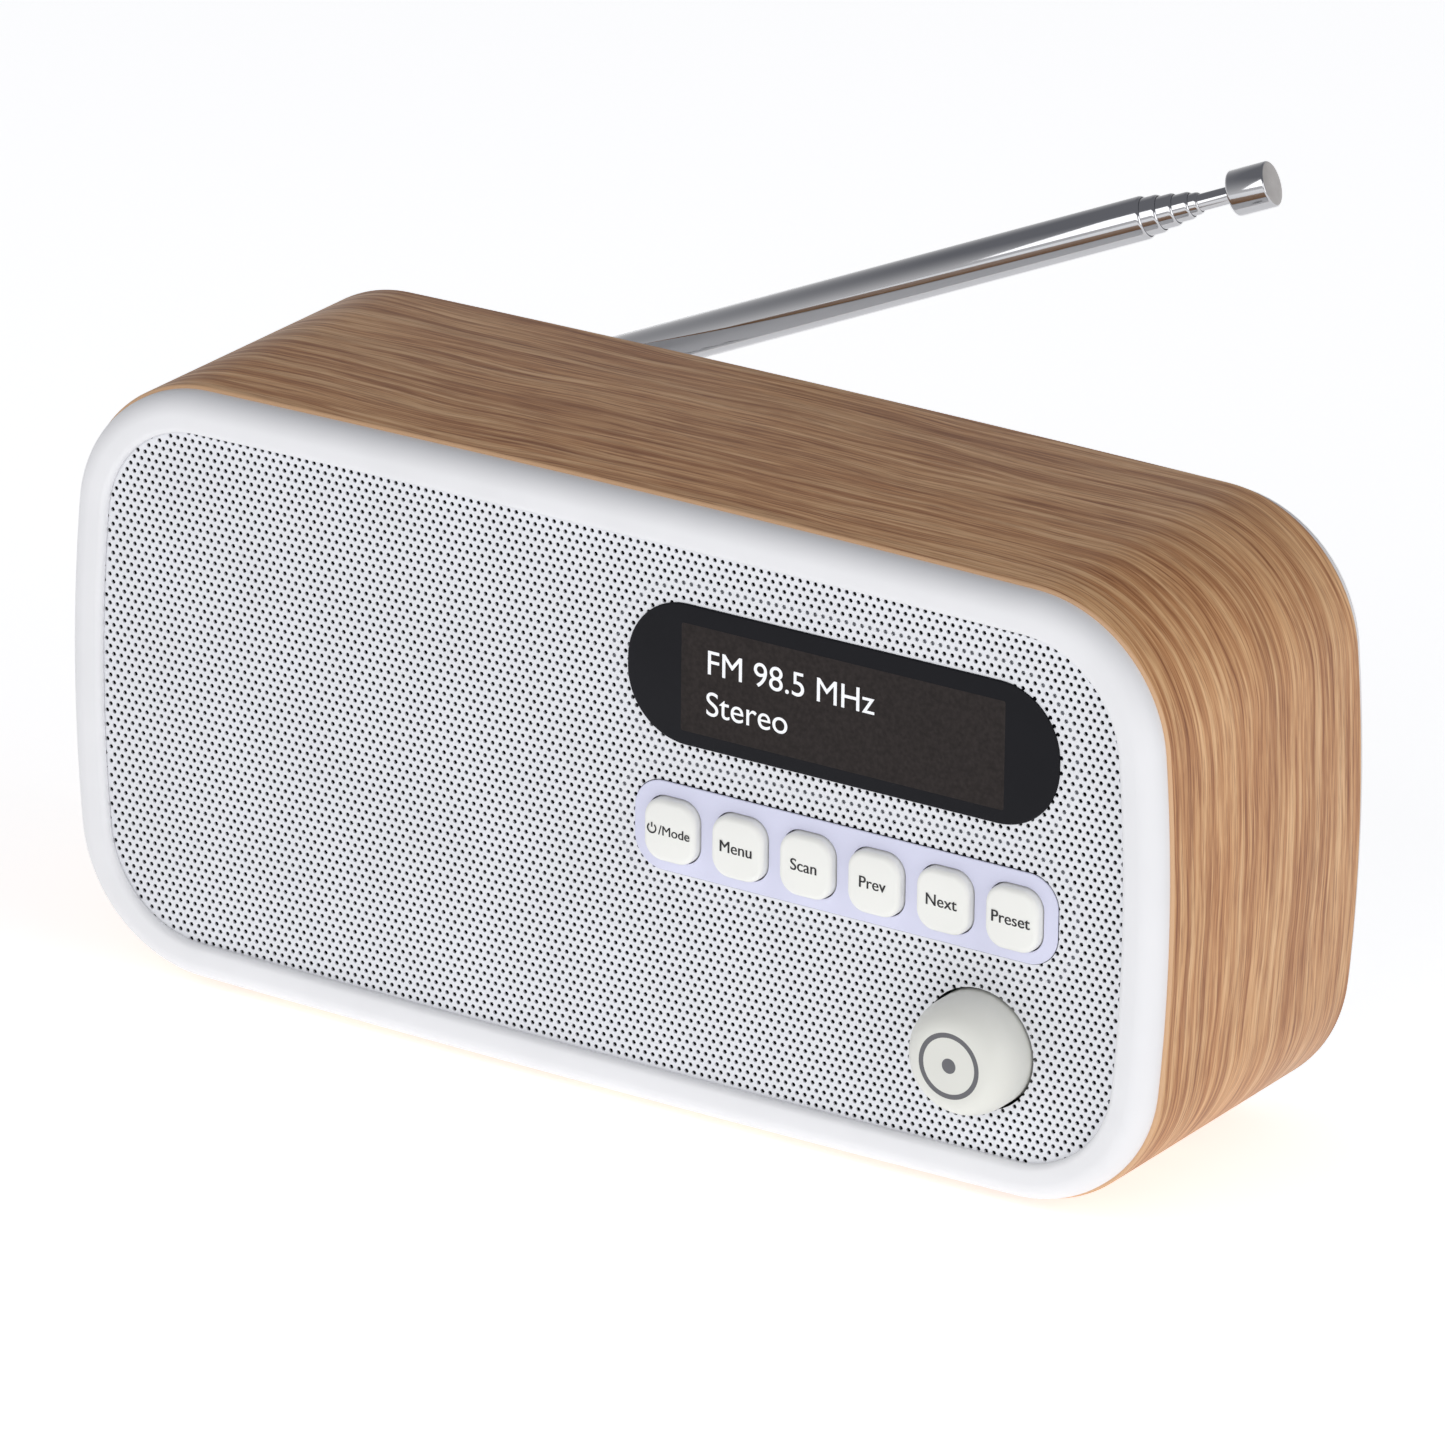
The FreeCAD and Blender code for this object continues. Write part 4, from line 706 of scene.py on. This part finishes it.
def buttons():
    for name, words in BUTTON_WORDS:
        low, high = box_mm("button_" + name)
        x, z = seen_centre(low, high)
        bm = bmesh.new()
        loops = [ring(bm, rounded_outline(BUTTON_WIDTH - 2 * inset, BUTTON_HEIGHT - 2 * inset,
                                          max(BUTTON_CORNER - inset, KEY_SHARPEST), x, z, 12), y)
                 for inset, y in key_section(low.y, high.y)]
        loft(bm, loops)
        cap(bm, loops[0])
        cap(bm, loops[-1])
        finish_piece(bm, name + "_key_cap", FINISHES["button_white"],
                     name + "_key", ("button_" + name,))
        face = low.y - LABEL_PROUD
        if name == "power":
            bm = flat_text(words, MODE_HEIGHT, x + MODE_SHIFT, face, z - MODE_DROP, "CENTER",
                           MODE_BOLD)
            merge_into(bm, power_sign(x - SIGN_SHIFT, face, z + SIGN_RISE))
        else:
            bm = flat_text(words, LABEL_HEIGHT, x, face, z - LABEL_DROP, "CENTER", LABEL_BOLD)
        finish_piece(bm, name + "_label", PRINT_GREY, name + "_key")


# ---- knob ----

def tuning_knob():
    low, high = box_mm("tuning_knob")
    x, z = seen_centre(low, high)
    radius, length = (high.x - low.x) / 2, high.y - low.y
    place = facing_front(x, high.y, z)
    profile = [(0, length)]
    for step in range(15):
        angle = math.pi / 2 * (1 - step / 14)
        profile.append((KNOB_FACE + (radius - KNOB_FACE) * math.cos(angle),
                        length - KNOB_FALL + KNOB_FALL * math.sin(angle)))
    hollow = radius - KNOB_WALL
    profile += [(radius, 0), (hollow, 0), (hollow, length - KNOB_FALL),
                (KNOB_FACE, length - KNOB_WALL), (0, length - KNOB_WALL)]
    turned("knob_cap", profile, place, FINISHES["knob_white"], "knob",
           ("tuning_knob",), 96)
    for name, near, far in (("knob_ring_print", RING_RADIUS - RING_LINE, RING_RADIUS),
                            ("knob_dot_print", 0, DOT_RADIUS)):
        mark = [(near, length - PRINT), (near, length + PRINT), (far, length + PRINT),
                (far, length - PRINT)]
        turned(name, mark, place, RING_GREY, "knob", (), 72)


# ---- antenna ----

def antenna_axis():
    """Where the antenna's own axis starts, and a turn that lays +Z along it."""
    joints = {joint["name"]: joint for joint in frame["joints"]}
    start = Vector(joints["antenna_tilt"]["pos_m"])
    along = Vector(joints["rod_pull"]["axis"]).normalized()
    return start, along, along.to_track_quat("Z", "Y").to_matrix().to_4x4()


def reach_mm(node, start, along):
    """How far a node runs along the antenna from its elbow pin."""
    values = [(vert.co - start).dot(along) / MM for vert in frame["nodes"][node].data.vertices]
    return min(values), max(values)


def stepped(radius, along, steps):
    """Points of a turned profile, as steps out from a radius and along from a place."""
    return [(radius + out, along + on) for out, on in steps]


def antenna_tubes(start, along, place):
    for level in range(1, 6):
        node = "antenna_tube_%d" % level
        low, high = reach_mm(node, start, along)
        outer = TUBE_RADIUS - (level - 1) * (TUBE_WALL + TUBE_GAP)
        profile = stepped(outer, low, TUBE_FOOT) + stepped(outer, high, TUBE_MOUTH)
        profile.append((outer - TUBE_WALL, low))
        body = "antenna_arm" if level == 1 else "antenna_section_%d" % level
        turned("chrome_tube_%d" % level, profile, place, FINISHES["antenna_chrome"],
               body, (node,), 56, 50)


def antenna_rod(start, along, place):
    low, high = reach_mm("antenna_rod", start, along)
    profile = [(0, low), (ROD_RADIUS, low)] + stepped(ROD_RADIUS, high, ROD_NECK)
    profile.append((0, high + ROD_PAST))
    turned("chrome_rod", profile, place, FINISHES["antenna_chrome"],
           "antenna_top", ("antenna_rod",), 40, 50)


def antenna_tip(start, along, place):
    """The cap on the rod: chromed round its side, satin on its end."""
    low, high = reach_mm("antenna_tip", start, along)
    quarter = [math.pi / 2 * step / TIP_STEPS for step in range(TIP_STEPS + 1)]
    profile = [(0, low), (TIP_RADIUS - TIP_EDGE, low)]
    profile += [(TIP_RADIUS - TIP_EDGE + TIP_EDGE * math.sin(angle),
                 low + TIP_EDGE - TIP_EDGE * math.cos(angle)) for angle in quarter[1:]]
    profile += [(TIP_RADIUS - TIP_END_EDGE + TIP_END_EDGE * math.cos(angle),
                 high - TIP_END_EDGE + TIP_END_EDGE * math.sin(angle)) for angle in quarter]
    profile.append((0, high))
    tip = turned("chrome_tip", profile, place, FINISHES["antenna_chrome"],
                 "antenna_top", ("antenna_tip",), 56, 30)
    tip.data.materials.append(TIP_SATIN)
    for face in tip.data.polygons:
        if face.normal.dot(along) > 0.9 and (face.center - start).dot(along) / MM > high - 0.1:
            face.material_index = 1


def antenna():
    start, along, turn = antenna_axis()
    place = Matrix.Translation(start) @ turn
    antenna_tubes(start, along, place)
    antenna_rod(start, along, place)
    antenna_tip(start, along, place)


# ---- carried-over nodes ----

def dress_nodes():
    slots = {row["node"]: row["material_slot"] for row in frame["record"]["subparts"]}
    for name, node in frame["nodes"].items():
        finish = FINISHES[slots[name]]
        if not node.material_slots:
            node.data.materials.append(finish)
        for index in range(len(node.material_slots)):
            node.material_slots[index].material = finish


# ---- stage, light and camera ----

AZIMUTH, ELEVATION, ROLL = math.radians(33.7756), math.radians(21.6254), math.radians(0.4315)
DISTANCE, LENS = 2.04623, 311.863
AIM_RIGHT, AIM_UP = 0.018141, 0.010561
SENSOR, FARTHEST = 36, 50

FLOOR_REACH, FLOOR_GLOW = 6, 0.62
HORIZON, ZENITH, ZENITH_FROM = (0.77, 0.77, 0.775, 1), (0.21, 0.215, 0.235, 1), 0.7
LIT_PLACE = (0, 0, 0.05)
LIGHTS = (("front_soft", (0.2, -1.6, 0.9), (1.4, 1.0), 8),
          ("right_soft", (1.7, -0.3, 0.7), (1.2, 1.0), 6.5))


def camera():
    back = Vector((math.sin(AZIMUTH) * math.cos(ELEVATION),
                   -math.cos(AZIMUTH) * math.cos(ELEVATION), math.sin(ELEVATION)))
    right = Vector((math.cos(AZIMUTH), math.sin(AZIMUTH), 0))
    up = back.cross(right)
    level_right = right * math.cos(ROLL) + up * math.sin(ROLL)
    level_up = up * math.cos(ROLL) - right * math.sin(ROLL)
    origin = Vector((0, FRONT * MM, MIDDLE * MM))
    place = origin + back * DISTANCE
    target = origin + level_right * AIM_RIGHT + level_up * AIM_UP
    back = (place - target).normalized()
    right = (level_right - back * level_right.dot(back)).normalized()
    up = back.cross(right)
    data = bpy.data.cameras.new("camera")
    data.lens = LENS
    data.sensor_width = SENSOR
    data.clip_end = FARTHEST
    view = bpy.data.objects.new("camera", data)
    turn = Matrix((right, up, back)).transposed().to_4x4()
    view.matrix_world = Matrix.Translation(place) @ turn
    bpy.context.scene.collection.objects.link(view)
    bpy.context.scene.camera = view


def area_light(name, place, size, power):
    data = bpy.data.lights.new(name, "AREA")
    data.shape = "RECTANGLE"
    data.size, data.size_y = size
    data.energy = power
    lamp = bpy.data.objects.new(name, data)
    back = (Vector(place) - Vector(LIT_PLACE)).normalized()
    turn = back.to_track_quat("Z", "Y").to_matrix().to_4x4()
    lamp.matrix_world = Matrix.Translation(place) @ turn
    bpy.context.scene.collection.objects.link(lamp)


def stage():
    finish = Finish("pale_floor", (0.9, 0.9, 0.9), 0.95)
    finish.tinted(3, 0.005)
    finish.shader.inputs["Emission Color"].default_value = (1, 1, 1, 1)
    finish.shader.inputs["Emission Strength"].default_value = FLOOR_GLOW
    bm = bmesh.new()
    bmesh.ops.create_grid(bm, x_segments=1, y_segments=1, size=FLOOR_REACH)
    mesh = bpy.data.meshes.new("floor")
    bm.to_mesh(mesh)
    bm.free()
    mesh.materials.append(finish.material)
    floor = bpy.data.objects.new("floor", mesh)
    bpy.context.scene.collection.objects.link(floor)


def sky():
    """Soft studio: bright round the horizon and dimmer overhead."""
    world = bpy.data.worlds.new("studio")
    world.use_nodes = True
    nodes, links = world.node_tree.nodes, world.node_tree.links
    place = nodes.new("ShaderNodeTexCoord")
    split = nodes.new("ShaderNodeSeparateXYZ")
    ramp = nodes.new("ShaderNodeValToRGB")
    links.new(place.outputs["Generated"], split.inputs[0])
    links.new(split.outputs["Z"], ramp.inputs["Fac"])
    stops = ramp.color_ramp.elements
    stops[0].position, stops[0].color = 0.0, HORIZON
    stops[1].position, stops[1].color = ZENITH_FROM, ZENITH
    links.new(ramp.outputs["Color"], nodes["Background"].inputs["Color"])
    bpy.context.scene.world = world


bpy.context.scene.view_settings.view_transform = "Standard"
camera()
sky()
stage()
for light in LIGHTS:
    area_light(*light)
wooden_sleeve()
bezel()
speaker_sheet()
ghost_ribs()
display_window()
display_screen()
buttons()
tuning_knob()
antenna()
dress_nodes()
